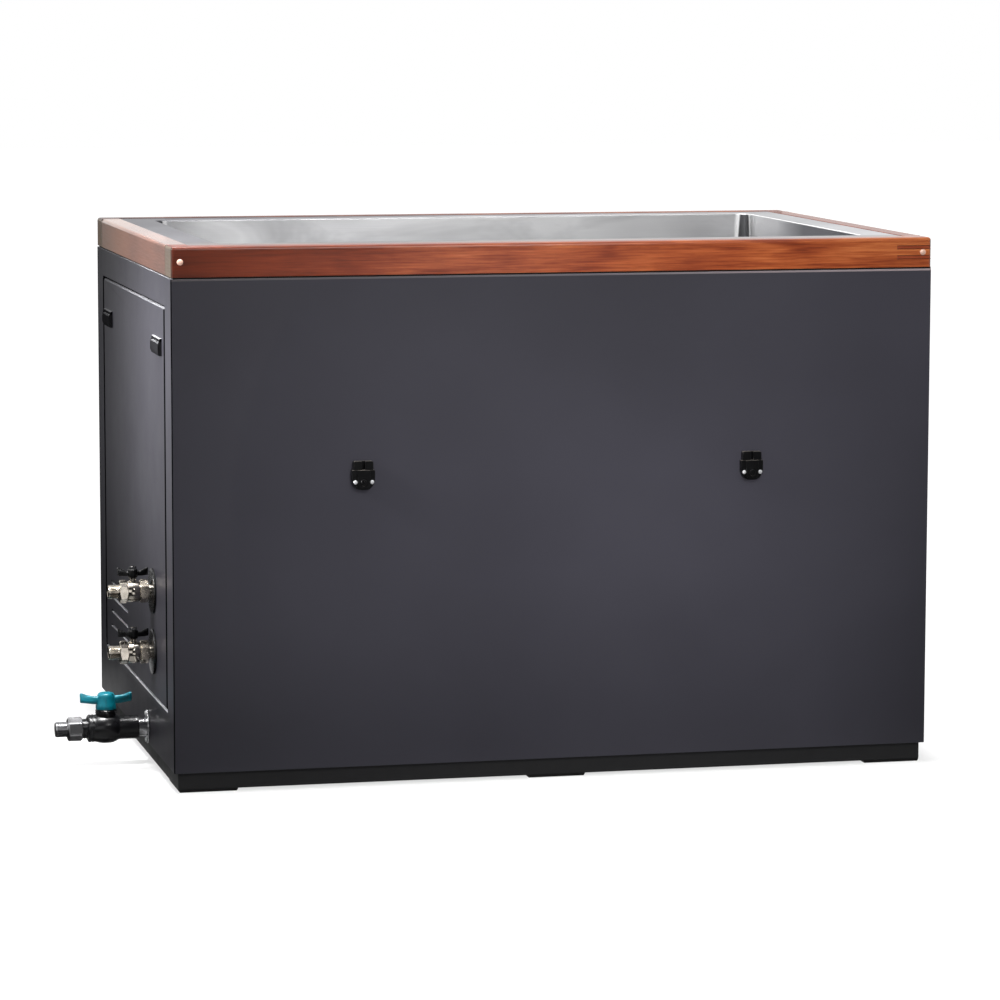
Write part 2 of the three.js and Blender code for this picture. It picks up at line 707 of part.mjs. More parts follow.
function hexBar(acrossFlats, from, to, y, z) {
  return turnedLeft(rod(hexRadius(acrossFlats), from, to), faceX, y, z, 6);
}

function bore(radius, from, to, y, z) {
  return turnedLeft(rod(radius, from, to), faceX, y, z);
}

function wallFitting(z) {
  const profile = [
    [NIPPLE_BORE, -FITTING_FACE], [FITTING_RADIUS - FITTING_FACE, -FITTING_FACE], [FITTING_RADIUS, 0],
    [fittingTailRadius, 0], [fittingTailRadius, fittingTail], [fittingSocket, fittingTail],
    [fittingSocket, socketFloor], [NIPPLE_BORE, socketFloor], [NIPPLE_BORE, -FITTING_FACE],
  ];
  return turnedLeft(profile, -basinX, valveY, z);
}

// Crossed bars over the bore, in the thickness of the fitting's face
function crossBars(z) {
  const reach = NIPPLE_BORE + GRATE_BAR;
  const half = GRATE_BAR / 2;
  const spanX = [-basinX, -basinX + FITTING_FACE];
  const level = block(...spanX, valveY - reach, valveY + reach, z - half, z + half);
  const upright = block(...spanX, valveY - half, valveY + half, z - reach, z + reach);
  return level.add(upright);
}

function suctionGrate(z) {
  return wallFitting(z).add(crossBars(z));
}

// A raised collar round the bore of the return fitting, and a deflector held by bars
function returnNozzle(z) {
  const place = [-basinX, valveY, z];
  const collar = ring(
    NIPPLE_BORE, NIPPLE_BORE + FITTING_WALL, -FITTING_FACE - NOZZLE_LENGTH, -FITTING_FACE / 2);
  const deflector = rod(DEFLECTOR_RADIUS, -FITTING_FACE, 0);
  return joinAll([
    wallFitting(z), crossBars(z), turnedLeft(collar, ...place), turnedLeft(deflector, ...place)]);
}

function rosette(z) {
  const hole = NIPPLE_RADIUS + SEAM;
  const profile = [
    [hole, 0], [ROSETTE_RADIUS, 0], [ROSETTE_RADIUS, ROSETTE_EDGE],
    [hole + ROSETTE_THICKNESS, ROSETTE_THICKNESS], [hole, ROSETTE_THICKNESS], [hole, 0],
  ];
  return turnedLeft(profile, faceX, valveY, z);
}

function valveConnector(z) {
  const at = [valveY, z];
  const outer = hexBar(VALVE_ACROSS_FLATS, CONNECTOR_START, connectorEnd, ...at);
  const thread = bore(retainerOuter, connectorEnd - OVERSHOOT, connectorEnd + RETAINER_LENGTH, ...at);
  return cutAll(outer.add(thread), [
    bore(NIPPLE_RADIUS + THREAD_GAP, CONNECTOR_START - OVERSHOOT, nippleEnd + SEAM, ...at),
    bore(VALVE_BORE, CONNECTOR_START, connectorEnd + OVERSHOOT, ...at),
    bore(chamberRadius, connectorEnd, connectorEnd + RETAINER_LENGTH + OVERSHOOT, ...at),
  ]);
}

function valveBody(z) {
  const at = [valveY, z];
  const stemX = faceX - valveBallAt;
  const retainerEnd = connectorEnd + RETAINER_LENGTH + SEAM;
  const chamberEnd = valveBallAt + VALVE_BALL_RADIUS + SEAM;
  const outer = joinAll([
    bore(BARREL_RADIUS, barrelStart, hexStart, ...at),
    hexBar(VALVE_ACROSS_FLATS, hexStart, maleStart, ...at),
    bore(MALE_RADIUS, maleStart - OVERSHOOT, valveEnd, ...at),
    turnedUp(rod(BONNET_RADIUS, 0, BONNET_TOP), stemX, ...at, SMALL_ROUND),
  ]);
  return cutAll(outer, [
    bore(retainerOuter + THREAD_GAP, barrelStart - OVERSHOOT, retainerEnd, ...at),
    bore(chamberRadius, barrelStart, chamberEnd, ...at),
    bore(VALVE_BORE, barrelStart, valveEnd + OVERSHOOT, ...at),
    turnedUp(rod(VALVE_STEM_RADIUS + SEAM, 0, BONNET_TOP + OVERSHOOT), stemX, ...at, SMALL_ROUND),
  ]);
}

// A bored ball with a slot across its top for the tang of the stem
function boredBall(radius, boreRadius, distance, y, z, tangHalf) {
  const x = faceX - distance;
  const slotFloor = z + boreRadius + BALL_SLOT_FLOOR;
  const slotHalf = tangHalf + SEAM;
  return cutAll(turnedUp(ballProfile(radius), x, y, z, SMALL_ROUND), [
    bore(boreRadius, distance - radius - OVERSHOOT, distance + radius + OVERSHOOT, y, z),
    block(x - slotHalf, x + slotHalf, y - radius, y + radius, slotFloor, z + radius + OVERSHOOT),
  ]);
}

function stemWithTang(stemRadius, ballRadius, boreRadius, top, distance, y, z, tangHalf) {
  const x = faceX - distance;
  const tangReach = Math.sqrt(stemRadius ** 2 - tangHalf ** 2) - SEAM;
  const shaft = turnedUp(rod(stemRadius, ballRadius + SEAM, top), x, y, z, SMALL_ROUND);
  const tang = block(
    x - tangHalf, x + tangHalf, y - tangReach, y + tangReach,
    z + boreRadius + BALL_SLOT_FLOOR + SEAM, z + ballRadius + OVERSHOOT);
  return shaft.add(tang);
}

// Two wings that rise towards their tips, as an outline in (x, z)
function wing(way, x, root, tip, bottom, height, rise, thickness, y) {
  const step = rise / 2;
  const points = [
    [root, bottom], [tip - rise, bottom + step], [tip, bottom + rise + step],
    [tip, bottom + height + rise - step], [tip - step, bottom + height + rise], [root, bottom + height],
  ];
  const shape = outline(points.map(([along, level]) => [x + way * along, level]));
  return prismY(shape, y - thickness / 2, y + thickness / 2);
}

function valveHandle(z) {
  const x = faceX - valveBallAt;
  const hub = turnedUp(rod(HANDLE_HUB_RADIUS, BONNET_TOP + SEAM, hubTop), x, valveY, z, SMALL_ROUND);
  const bottom = z + hubTop - HANDLE_WING_HEIGHT;
  const wings = [-1, 1].map((way) => wing(
    way, x, VALVE_STEM_RADIUS, HANDLE_SPAN / 2, bottom, HANDLE_WING_HEIGHT - HANDLE_TIP_RISE / 2,
    HANDLE_TIP_RISE, HANDLE_WING_THICKNESS, valveY));
  const hole = turnedUp(rod(VALVE_STEM_RADIUS + SEAM, 0, hubTop + OVERSHOOT), x, valveY, z, SMALL_ROUND);
  return joinAll([hub, ...wings]).subtract(hole);
}

function handleNut(z) {
  const x = faceX - valveBallAt;
  const nut = turnedUp(rod(hexRadius(HANDLE_NUT_FLATS), hubTop, handleNutTop), x, valveY, z, 6);
  const hole = rod(VALVE_STEM_RADIUS + SEAM, 0, handleNutTop + OVERSHOOT);
  return nut.subtract(turnedUp(hole, x, valveY, z));
}

function addValve(label, z) {
  const nippleStart = socketFloor + SEAM - BATH_INSET;
  const stemSizes = [VALVE_STEM_RADIUS, VALVE_BALL_RADIUS, VALVE_BORE, handleNutTop + STEM_PROUD];
  const tangHalf = VALVE_STEM_RADIUS / 2;
  const place = [valveBallAt, valveY, z, tangHalf];
  const nipple = turnedLeft(ring(NIPPLE_BORE, NIPPLE_RADIUS, nippleStart, nippleEnd), faceX, valveY, z);
  add(`${label}_nipple`, nipple, nickel);
  add(`${label}_rosette`, rosette(z), stainless);
  add(`${label}_valve_connector`, valveConnector(z), nickel);
  add(`${label}_valve_body`, valveBody(z), nickel);
  add(`${label}_valve_ball`, boredBall(VALVE_BALL_RADIUS, VALVE_BORE, ...place), nickel);
  add(`${label}_valve_stem`, stemWithTang(...stemSizes, ...place), nickel);
  add(`${label}_valve_handle`, valveHandle(z), blackPlastic);
  add(`${label}_handle_nut`, handleNut(z), nickel);
}

// Drain line: sump strainer, pipe under the basin, flange on the end, and a plastic ball valve

const socketEnd = PIPE_SHOWING + SOCKET_LENGTH;
const bulgeEnd = socketEnd + BULGE_LENGTH;
const shoulderEnd = bulgeEnd + SHOULDER_LENGTH;
const drainBallAt = socketEnd + BULGE_LENGTH / 2;
const drainChamber = DRAIN_BALL_RADIUS + BALL_CLEARANCE;
const drainBallEnd = drainBallAt + DRAIN_BALL_RADIUS;
const collarEnd = shoulderEnd + COLLAR_LENGTH;
const collarTipRadius = COLLAR_RADIUS - COLLAR_WALL;
const adaptorHexEnd = collarEnd + DRAIN_HEX_LENGTH;
const drainHubTop = NECK_TOP + DRAIN_HUB_HEIGHT;
const drainAt = [drainY, DRAIN_Z];

function drainStrainer() {
  const inner = strainerTail - STRAINER_THICKNESS;
  const faceRadius = STRAINER_RADIUS - STRAINER_THICKNESS;
  const dish = [[0, 0], [STRAINER_RADIUS, 0], [faceRadius, STRAINER_THICKNESS], [0, STRAINER_THICKNESS]];
  const place = [sumpX, drainY, BASIN_FLOOR];
  const tail = ring(inner, strainerTail, -STRAINER_TAIL, OVERSHOOT);
  const hole = rod(STRAINER_HOLE_RADIUS, -OVERSHOOT, STRAINER_THICKNESS + OVERSHOOT);
  const reach = inner - STRAINER_HOLE_RADIUS - STRAINER_HOLE_EDGE;
  const holes = [];
  for (let i = 0; i < STRAINER_HOLES; i += 1) {
    const angle = (2 * Math.PI * i) / STRAINER_HOLES;
    const x = sumpX + reach * Math.cos(angle);
    const y = drainY + reach * Math.sin(angle);
    holes.push(turnedUp(hole, x, y, BASIN_FLOOR, SMALL_ROUND / 2));
  }
  return cutAll(turnedUp(dish, ...place).add(turnedUp(tail, ...place)), holes);
}

// The bend of the pipe is a round elbow: the two runs meet in a ball of their own radius
function elbow(radius, top, end) {
  const x = sumpX;
  return joinAll([
    turnedUp(rod(radius, 0, top - DRAIN_Z), x, ...drainAt),
    turnedLeft(rod(radius, 0, end + x - faceX), x, ...drainAt),
    turnedUp(ballProfile(radius), x, ...drainAt, ROUND),
  ]);
}

function drainPipe() {
  const end = PIPE_SHOWING + PIPE_INSERTION;
  const inner = elbow(PIPE_RADIUS - PIPE_WALL, basinUnder + OVERSHOOT, end + OVERSHOOT);
  return elbow(PIPE_RADIUS, basinUnder - PIPE_TOP_GAP, end).subtract(inner);
}

// A two-bolt flange: the tangents of a round middle and a small lobe above and below
function drainFlange() {
  const lobe = DRAIN_FLANGE_HEIGHT / 2 - drainScrewOffset;
  const middle = DRAIN_FLANGE_WIDTH / 2;
  const lean = Math.asin((middle - lobe) / drainScrewOffset);
  const shape = new THREE.Shape();
  shape.absarc(drainY, DRAIN_Z, middle, -lean, lean);
  shape.absarc(drainY, DRAIN_Z + drainScrewOffset, lobe, lean, Math.PI - lean);
  shape.absarc(drainY, DRAIN_Z, middle, Math.PI - lean, Math.PI + lean);
  shape.absarc(drainY, DRAIN_Z - drainScrewOffset, lobe, Math.PI + lean, 2 * Math.PI - lean);
  const plate = prismX(shape, faceX - DRAIN_FLANGE_THICKNESS, faceX);
  const through = [-OVERSHOOT, DRAIN_FLANGE_THICKNESS + OVERSHOOT];
  const hole = rod(DRAIN_SCREW_SHANK + SEAM, ...through);
  const screwHoles = [-1, 1].map(
    (way) => turnedLeft(hole, faceX, drainY, DRAIN_Z + way * drainScrewOffset, SMALL_ROUND));
  return cutAll(plate, [bore(PIPE_RADIUS + SEAM, ...through, ...drainAt), ...screwHoles]);
}

function drainScrew(way) {
  const seat = DRAIN_FLANGE_THICKNESS;
  const point = seat - DRAIN_SCREW_LENGTH;
  const profile = [
    [0, point], [DRAIN_SCREW_SHANK, point], [DRAIN_SCREW_SHANK, seat], [DRAIN_SCREW_RADIUS, seat],
    [DRAIN_SCREW_RADIUS, seat + DRAIN_SCREW_EDGE], [0, seat + DRAIN_SCREW_HEAD],
  ];
  return turnedLeft(profile, faceX, drainY, DRAIN_Z + way * drainScrewOffset, SMALL_ROUND);
}

function drainValveBody() {
  const stemX = faceX - drainBallAt;
  const outer = [[0, PIPE_SHOWING], [SOCKET_RADIUS, PIPE_SHOWING], [SOCKET_RADIUS, socketEnd]];
  for (let i = 1; i < BULGE_STEPS; i += 1) {
    const share = i / BULGE_STEPS;
    const straight = THREE.MathUtils.lerp(SOCKET_RADIUS, SHOULDER_RADIUS, share);
    const radius = straight + (BULGE_RADIUS - straight) * Math.sin(Math.PI * share);
    outer.push([radius, socketEnd + share * BULGE_LENGTH]);
  }
  outer.push([SHOULDER_RADIUS, bulgeEnd], [SHOULDER_RADIUS, shoulderEnd], [0, shoulderEnd]);
  const body = turnedLeft(outer, faceX, ...drainAt)
    .add(turnedUp(rod(NECK_RADIUS, 0, NECK_TOP), stemX, ...drainAt));
  const chamberStart = drainBallAt - DRAIN_BALL_RADIUS - SEAM;
  return cutAll(body, [
    bore(PIPE_RADIUS + SEAM, PIPE_SHOWING - OVERSHOOT, PIPE_SHOWING + PIPE_INSERTION + SEAM, ...drainAt),
    bore(DRAIN_BORE, PIPE_SHOWING, chamberStart + OVERSHOOT, ...drainAt),
    bore(drainChamber, chamberStart, shoulderEnd + OVERSHOOT, ...drainAt),
    turnedUp(rod(DRAIN_STEM_RADIUS + SEAM, 0, NECK_TOP + OVERSHOOT), stemX, ...drainAt, SMALL_ROUND),
  ]);
}

// The end connector: a spigot in the valve body, a collar that shows, and a threaded tip
function drainCollar() {
  const spigot = drainChamber - THREAD_GAP;
  const tipEnd = collarEnd + COLLAR_TIP;
  const profile = [
    [COLLAR_BORE, drainBallEnd + SEAM], [spigot, drainBallEnd + SEAM], [spigot, shoulderEnd],
    [COLLAR_RADIUS, shoulderEnd], [COLLAR_RADIUS, collarEnd], [collarTipRadius, collarEnd],
    [collarTipRadius, tipEnd], [COLLAR_BORE, tipEnd], [COLLAR_BORE, drainBallEnd + SEAM],
  ];
  return turnedLeft(profile, faceX, ...drainAt);
}

function drainAdaptor() {
  const end = adaptorHexEnd + OUTLET_LENGTH;
  const outer = hexBar(DRAIN_HEX_FLATS, collarEnd, adaptorHexEnd, ...drainAt)
    .add(bore(OUTLET_RADIUS, adaptorHexEnd - OVERSHOOT, end, ...drainAt));
  return cutAll(outer, [
    bore(collarTipRadius + THREAD_GAP, collarEnd - OVERSHOOT, collarEnd + COLLAR_TIP + SEAM, ...drainAt),
    bore(OUTLET_BORE, collarEnd, end + OVERSHOOT, ...drainAt),
  ]);
}

function drainHandle() {
  const x = faceX - drainBallAt;
  const hub = turnedUp(rod(DRAIN_HUB_RADIUS, NECK_TOP + SEAM, drainHubTop), x, ...drainAt);
  const bottom = DRAIN_Z + drainHubTop - DRAIN_WING_DROP - DRAIN_WING_HEIGHT;
  const wings = [-1, 1].map((way) => wing(
    way, x, DRAIN_STEM_RADIUS, DRAIN_HANDLE_SPAN / 2, bottom, DRAIN_WING_HEIGHT,
    DRAIN_TIP_RISE, DRAIN_WING_THICKNESS, drainY));
  const hole = rod(DRAIN_STEM_RADIUS + SEAM, 0, drainHubTop - HUB_ROOF);
  return joinAll([hub, ...wings]).subtract(turnedUp(hole, x, ...drainAt, SMALL_ROUND));
}

function addDrain() {
  const tangHalf = DRAIN_STEM_RADIUS / 2;
  const place = [drainBallAt, ...drainAt, tangHalf];
  const stemSizes = [DRAIN_STEM_RADIUS, DRAIN_BALL_RADIUS, DRAIN_BALL_BORE, drainHubTop - HUB_ROOF - SEAM];
  add('drain_strainer', drainStrainer(), stainless);
  add('drain_pipe', drainPipe(), stainless);
  add('drain_flange', drainFlange(), stainless);
  add('drain_screw_upper', drainScrew(1), zinc);
  add('drain_screw_lower', drainScrew(-1), zinc);
  add('drain_valve_body', drainValveBody(), pvc);
  add('drain_valve_ball', boredBall(DRAIN_BALL_RADIUS, DRAIN_BALL_BORE, ...place), pvc);
  add('drain_valve_stem', stemWithTang(...stemSizes, ...place), pvc);
  add('drain_valve_collar', drainCollar(), pvc);
  add('drain_outlet_adaptor', drainAdaptor(), stainless);
  add('drain_valve_handle', drainHandle(), teal);
}

// Cover locks: a receiver for the clip of the cover strap, with a key cylinder

function lockBody(x) {
  const bottom = lockBottom;
  const ledge = lockBottom + LOCK_HEIGHT - LOCK_HEAD_HEIGHT;
  const top = lockBottom + LOCK_HEIGHT;
  const half = LOCK_WIDTH / 2;
  const lower = prismY(outline([
    [x - LOCK_CHIN / 2, bottom], [x + LOCK_CHIN / 2, bottom], [x + half, bottom + LOCK_CHIN_HEIGHT],
    [x + half, ledge], [x - half, ledge], [x - half, bottom + LOCK_CHIN_HEIGHT],
  ]), -halfDepth - LOCK_DEPTH, -halfDepth);
  const headHalf = LOCK_HEAD_WIDTH / 2;
  const head = block(
    x - headHalf, x + headHalf, -halfDepth - LOCK_HEAD_DEPTH, -halfDepth, ledge - OVERSHOOT, top);
  const slotBack = -halfDepth - (LOCK_HEAD_DEPTH - LOCK_SLOT_THICKNESS) / 2;
  const slot = block(
    x - LOCK_SLOT_WIDTH / 2, x + LOCK_SLOT_WIDTH / 2, slotBack - LOCK_SLOT_THICKNESS, slotBack,
    ledge - LOCK_SLOT_DEEPER, top + OVERSHOOT);
  const keyHole = turnedFront(
    rod(LOCK_KEY_RADIUS + SEAM, LOCK_DEPTH - LOCK_KEY_DEPTH - SEAM, LOCK_DEPTH + OVERSHOOT),
    x, -halfDepth, bottom + LOCK_KEY_HEIGHT);
  return cutAll(lower.add(head), [slot, keyHole]);
}

function lockCylinder(x) {
  const z = lockBottom + LOCK_KEY_HEIGHT;
  const front = LOCK_DEPTH + LOCK_KEY_PROUD;
  const plug = turnedFront(rod(LOCK_KEY_RADIUS, LOCK_DEPTH - LOCK_KEY_DEPTH, front), x, -halfDepth, z);
  const slot = block(
    x - KEY_SLOT_WIDTH / 2, x + KEY_SLOT_WIDTH / 2, -halfDepth - front - OVERSHOOT,
    -halfDepth - front + KEY_SLOT_DEPTH, z - KEY_SLOT_LENGTH / 2, z + KEY_SLOT_LENGTH / 2);
  return plug.subtract(slot);
}

function addLocks() {
  for (const [side, way] of SIDES) {
    add(`cover_lock_${side}`, lockBody(way * lockSpread), blackPlastic);
    add(`lock_cylinder_${side}`, lockCylinder(way * lockSpread), blackPlastic);
  }
}

addBase();
addFrame();
addPanels();
addFoam();
addBasin();
addRim();
addAccessPanel();
addLatches();
add('suction_grate', suctionGrate(suctionZ), stainless);
add('return_nozzle', returnNozzle(RETURN_Z), stainless);
addValve('suction', suctionZ);
addValve('return', RETURN_Z);
addDrain();
addLocks();

export default tub;
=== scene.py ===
"""Studio scene of a cold plunge tub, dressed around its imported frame.

Shapes are written in millimetres in the frame's axes (+X right, +Y back, +Z up)
and turned into metres when a mesh is made.
"""

import json
import math
from functools import partialmethod

import bmesh
import bpy
from mathutils import Matrix, Vector

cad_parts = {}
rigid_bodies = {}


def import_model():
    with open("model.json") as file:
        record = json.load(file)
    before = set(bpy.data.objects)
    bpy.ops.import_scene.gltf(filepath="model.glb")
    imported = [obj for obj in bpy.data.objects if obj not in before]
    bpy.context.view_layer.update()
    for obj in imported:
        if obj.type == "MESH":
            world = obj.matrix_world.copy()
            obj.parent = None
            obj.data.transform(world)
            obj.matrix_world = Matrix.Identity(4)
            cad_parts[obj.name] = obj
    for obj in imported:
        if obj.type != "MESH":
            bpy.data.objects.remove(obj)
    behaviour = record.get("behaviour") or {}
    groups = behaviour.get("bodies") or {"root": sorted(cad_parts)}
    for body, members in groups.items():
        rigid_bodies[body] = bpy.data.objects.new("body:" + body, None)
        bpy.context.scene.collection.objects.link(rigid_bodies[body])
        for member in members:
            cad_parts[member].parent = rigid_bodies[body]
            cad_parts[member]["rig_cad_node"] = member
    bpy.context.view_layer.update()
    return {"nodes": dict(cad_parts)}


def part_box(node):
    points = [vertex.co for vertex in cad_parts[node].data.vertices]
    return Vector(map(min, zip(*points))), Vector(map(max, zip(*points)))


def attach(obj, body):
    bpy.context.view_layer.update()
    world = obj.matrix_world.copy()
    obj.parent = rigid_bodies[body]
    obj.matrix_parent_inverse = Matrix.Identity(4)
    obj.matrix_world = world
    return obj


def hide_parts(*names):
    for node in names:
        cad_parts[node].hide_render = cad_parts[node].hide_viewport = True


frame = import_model()
NODES = frame["nodes"]
MM = 0.001
WELD = 1e-6


def corners_of(node):
    """A node's lowest and highest corners, in millimetres."""
    return [[round(value / MM, 2) for value in corner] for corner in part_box(node)]


def middle_of(node):
    return [(low + high) / 2 for low, high in zip(*corners_of(node))]


# Sizes and places taken from the frame, in millimetres
RAIL_LOW, RAIL_HIGH = corners_of("rim_front")
BASIN_LOW, BASIN_HIGH = corners_of("basin")
HALF_WIDTH = RAIL_HIGH[0]
HALF_DEPTH = -RAIL_LOW[1]
RIM_TOP = RAIL_HIGH[2]
RAIL_WIDTH = RAIL_HIGH[1] + HALF_DEPTH
RAIL_BOTTOM = RAIL_LOW[2]
PLUG_X, _, PLUG_Z = middle_of("rim_plug_front_right")
FLANGE_TOP = BASIN_HIGH[2]
VALVE_Y = middle_of("return_nipple")[1]
VALVE_LEVELS = {label: middle_of(f"{label}_nipple")[2] for label in ("return", "suction")}
_, DRAIN_Y, DRAIN_Z = middle_of("drain_flange")
LATCH_Y = middle_of("latch_housing_rear")[1]
LATCH_BOTTOM = corners_of("latch_housing_rear")[0][2]
LOCK_X = middle_of("cover_lock_right")[0]
LOCK_BOTTOM = corners_of("cover_lock_right")[0][2]
FACE_X = -HALF_WIDTH
FACE_Y = -HALF_DEPTH

# Sizes inside the frame's pieces, and gaps to them
BATH_X = 645
BATH_Y = 395
BASIN_WALL = 2
BATH_FLOOR = BASIN_LOW[2] + BASIN_WALL
FLANGE_GAP = 0.5
REBATE_X = BASIN_HIGH[0] + FLANGE_GAP
REBATE_Y = BASIN_HIGH[1] + FLANGE_GAP
REBATE_FLOOR = 1036
FINGER_LEVELS = (1001.33, 1020.67)
LATCH_AXIS = (-753, 849)
FACE_GAP = 0.05

# Camera, fitted to the photograph
CAMERA_PLACE = (-1.9353, -8.1197, 1.5306)
CAMERA_YAW = 13.4298
CAMERA_PITCH = 7.1631
CAMERA_ROLL = 0.1161
CAMERA_LENS = 148.05
CAMERA_SENSOR = 36
CAMERA_FAR = 100


# Meshes from rings of points


def aim(axis, x, y, z):
    """A map from (u, v) across an axis and h along it to a point."""
    return {
        "left": lambda u, v, h: (x - h, y + u, z + v),
        "right": lambda u, v, h: (x + h, y + u, z + v),
        "up": lambda u, v, h: (x + u, y + v, z + h),
        "front": lambda u, v, h: (x + u, y - h, z + v),
        "rear": lambda u, v, h: (x + u, y + h, z + v),
    }[axis]


def loft(rings, closed=False):
    """A skin over rings of equal length. A ring of one point is a pole. Open ends are capped."""
    points, faces, rows = [], [], []
    for ring in rings:
        rows.append(list(range(len(points), len(points) + len(ring))))
        points.extend(ring)
    pairs = list(zip(rows, rows[1:]))
    if closed:
        pairs.append((rows[-1], rows[0]))
    for a, b in pairs:
        count = max(len(a), len(b))
        for i in range(count if count > 1 else 0):
            j = (i + 1) % count
            corners = [a[i % len(a)], a[j % len(a)], b[j % len(b)], b[i % len(b)]]
            faces.append(list(dict.fromkeys(corners)))
    if not closed:
        faces += [row for row in (rows[0], rows[-1]) if len(row) > 2]
    return points, faces


def turns(steps):
    """Angles of a full turn."""
    return [2 * math.pi * i / steps for i in range(steps)]


def quarter(steps):
    """Angles of a quarter turn, with both its ends."""
    return [math.pi / 2 * i / steps for i in range(steps + 1)]


def turned(profile, axis, place, steps=48, closed=False):
    """A lathe piece from (radius, distance) pairs. A radius may be a rule of the angle."""
    put = aim(axis, *place)
    rings = []
    for radius, h in profile:
        ring = []
        for turn in turns(steps):
            r = radius(turn) if callable(radius) else radius
            ring.append(put(r * math.cos(turn), r * math.sin(turn), h))
        rings.append(ring if radius else ring[:1])
    return loft(rings, closed)


def rod(radius, start, end):
    """The profile of a plain round bar."""
    return [(0, start), (radius, start), (radius, end), (0, end)]


def band(start, end, root, crest, slope=0.6):
    """The profile of a raised band around a turned piece."""
    return [(root, start), (crest, start + slope), (crest, end - slope), (root, end)]


def hexagon(across_flats, limit, turn):
    """A hexagon with a flat at its top before the turn, trimmed by a cone of radius limit."""
    first = math.pi / 2 + math.radians(turn) - math.pi / 6

    def radius(angle):
        off = (angle - first) % (math.pi / 3) - math.pi / 6
        return min(across_flats / 2 / math.cos(off), limit)

    return radius


def hex_bar(across_flats, start, end, chamfer=2.2, turn=0):
    """The profile of a hexagon bar whose ends are chamfered as a nut's are."""
    steps = 6
    least = across_flats / 2 * 0.985
    corner = across_flats / math.sqrt(3)
    first, last = [], []
    for i in range(steps + 1):
        radius = hexagon(across_flats, least + (corner - least) * i / steps, turn)
        first.append((radius, start + chamfer * i / steps))
        last.append((radius, end - chamfer * i / steps))
    return first + last[::-1]


def screw_thread(radius, start, end, pitch, depth):
    """The profile of a screw thread with a chamfered end."""
    per_turn = 6
    first_fade = 0.2
    chamfer = 0.7 * pitch
    count = int((end - start) / pitch * per_turn)
    profile = []
    for i in range(count + 1):
        h = start + (end - start) * i / count
        fade = min(1, (end - h) / pitch, (h - start) / pitch + first_fade)
        crest = radius - max(0, 1 - (end - h) / chamfer) * depth

        def ridge(angle, h=h, fade=fade, crest=crest):
            phase = (h / pitch - angle / (2 * math.pi)) % 1
            return crest - depth * fade * abs(2 * phase - 1)

        profile.append((ridge, h))
    return profile


def prism(outline, axis, place, start, end):
    put = aim(axis, *place)
    return loft([[put(u, v, h) for u, v in outline] for h in (start, end)])


def block(x0, x1, y0, y1, z0, z1):
    outline = [(x0, y0), (x1, y0), (x1, y1), (x0, y1)]
    return prism(outline, "up", (0, 0, 0), z0, z1)


def rounded(points, radii, steps=5):
    """An outline with each corner turned into an arc-like curve."""
    made = []
    for i, corner in enumerate(points):
        corner = Vector(corner)
        before = Vector(points[i - 1]) - corner
        after = Vector(points[(i + 1) % len(points)]) - corner
        reach = min(radii[i], 0.49 * before.length, 0.49 * after.length)
        a = corner + before.normalized() * reach
        b = corner + after.normalized() * reach
        for k in range(steps + 1):
            t = k / steps
            made.append(tuple((1 - t) ** 2 * a + 2 * t * (1 - t) * corner + t * t * b))
    return made


def shape(*shells):
    """One mesh, in metres, from closed shells in millimetres."""
    made = bmesh.new()
    for points, faces in shells:
        verts = [made.verts.new(Vector(p) * MM) for p in points]
        own = [made.faces.new([verts[i] for i in face]) for face in faces]
        bmesh.ops.recalc_face_normals(made, faces=own)
    mesh = bpy.data.meshes.new("shape")
    made.to_mesh(mesh)
    made.free()
    return mesh


def made_whole(mesh):
    """The mesh with doubled corners joined and the triangles of flat faces merged."""
    whole = bmesh.new()
    whole.from_mesh(mesh)
    bmesh.ops.remove_doubles(whole, verts=whole.verts, dist=WELD)
    bmesh.ops.dissolve_limit(whole, angle_limit=0.01, verts=whole.verts, edges=whole.edges)
    whole.to_mesh(mesh)
    whole.free()
    return mesh


def weigh(mesh, full, rule):
    """Bevel weights of edges, from a rule that gives each edge's width in millimetres."""
    weights = mesh.attributes.new("bevel_weight_edge", "FLOAT", "EDGE")
    for edge in mesh.edges:
        a, b = (mesh.vertices[i].co / MM for i in edge.vertices)
        weights.data[edge.index].value = rule(a, b) / full


def near(value, target):
    return abs(value - target) < 0.01


def placed(name, data):
    """A new object in the scene."""
    obj = bpy.data.objects.new(name, data)
    bpy.context.scene.collection.objects.link(obj)
    return obj


def carved(mesh, *cutters):
    """The mesh with each cutter taken out of it, and its flat faces made whole again."""
    base = placed("carving", mesh)
    tools = []
    for cutter in cutters:
        tool = placed("cutter", cutter)
        step = base.modifiers.new("cut", "BOOLEAN")
        step.operation = "DIFFERENCE"
        step.solver = "EXACT"
        step.object = tool
        tools.append(tool)
    bpy.context.view_layer.update()
    depsgraph = bpy.context.evaluated_depsgraph_get()
    result = bpy.data.meshes.new_from_object(base.evaluated_get(depsgraph))
    for used in (base, *tools):
        bpy.data.objects.remove(used)
    return made_whole(result)


def soften(obj, bevel=0, segments=2, angle=35, by_weight=False):
    """Smooth shading, with real small rounds on the edges where a width is given."""
    mesh = obj.data
    if len(mesh.polygons) and "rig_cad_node" not in obj:
        mesh.shade_smooth()
        if not bevel:
            mesh.set_sharp_from_angle(angle=math.radians(angle))
    if bevel:
        edge = obj.modifiers.new("rounds", "BEVEL")
        edge.width = bevel * MM
        edge.segments = segments
        edge.limit_method = "WEIGHT" if by_weight else "ANGLE"
        edge.angle_limit = math.radians(angle)
        edge.harden_normals = True
        edge.use_clamp_overlap = not by_weight
    normals = obj.modifiers.new("normals", "WEIGHTED_NORMAL")
    normals.keep_sharp = True


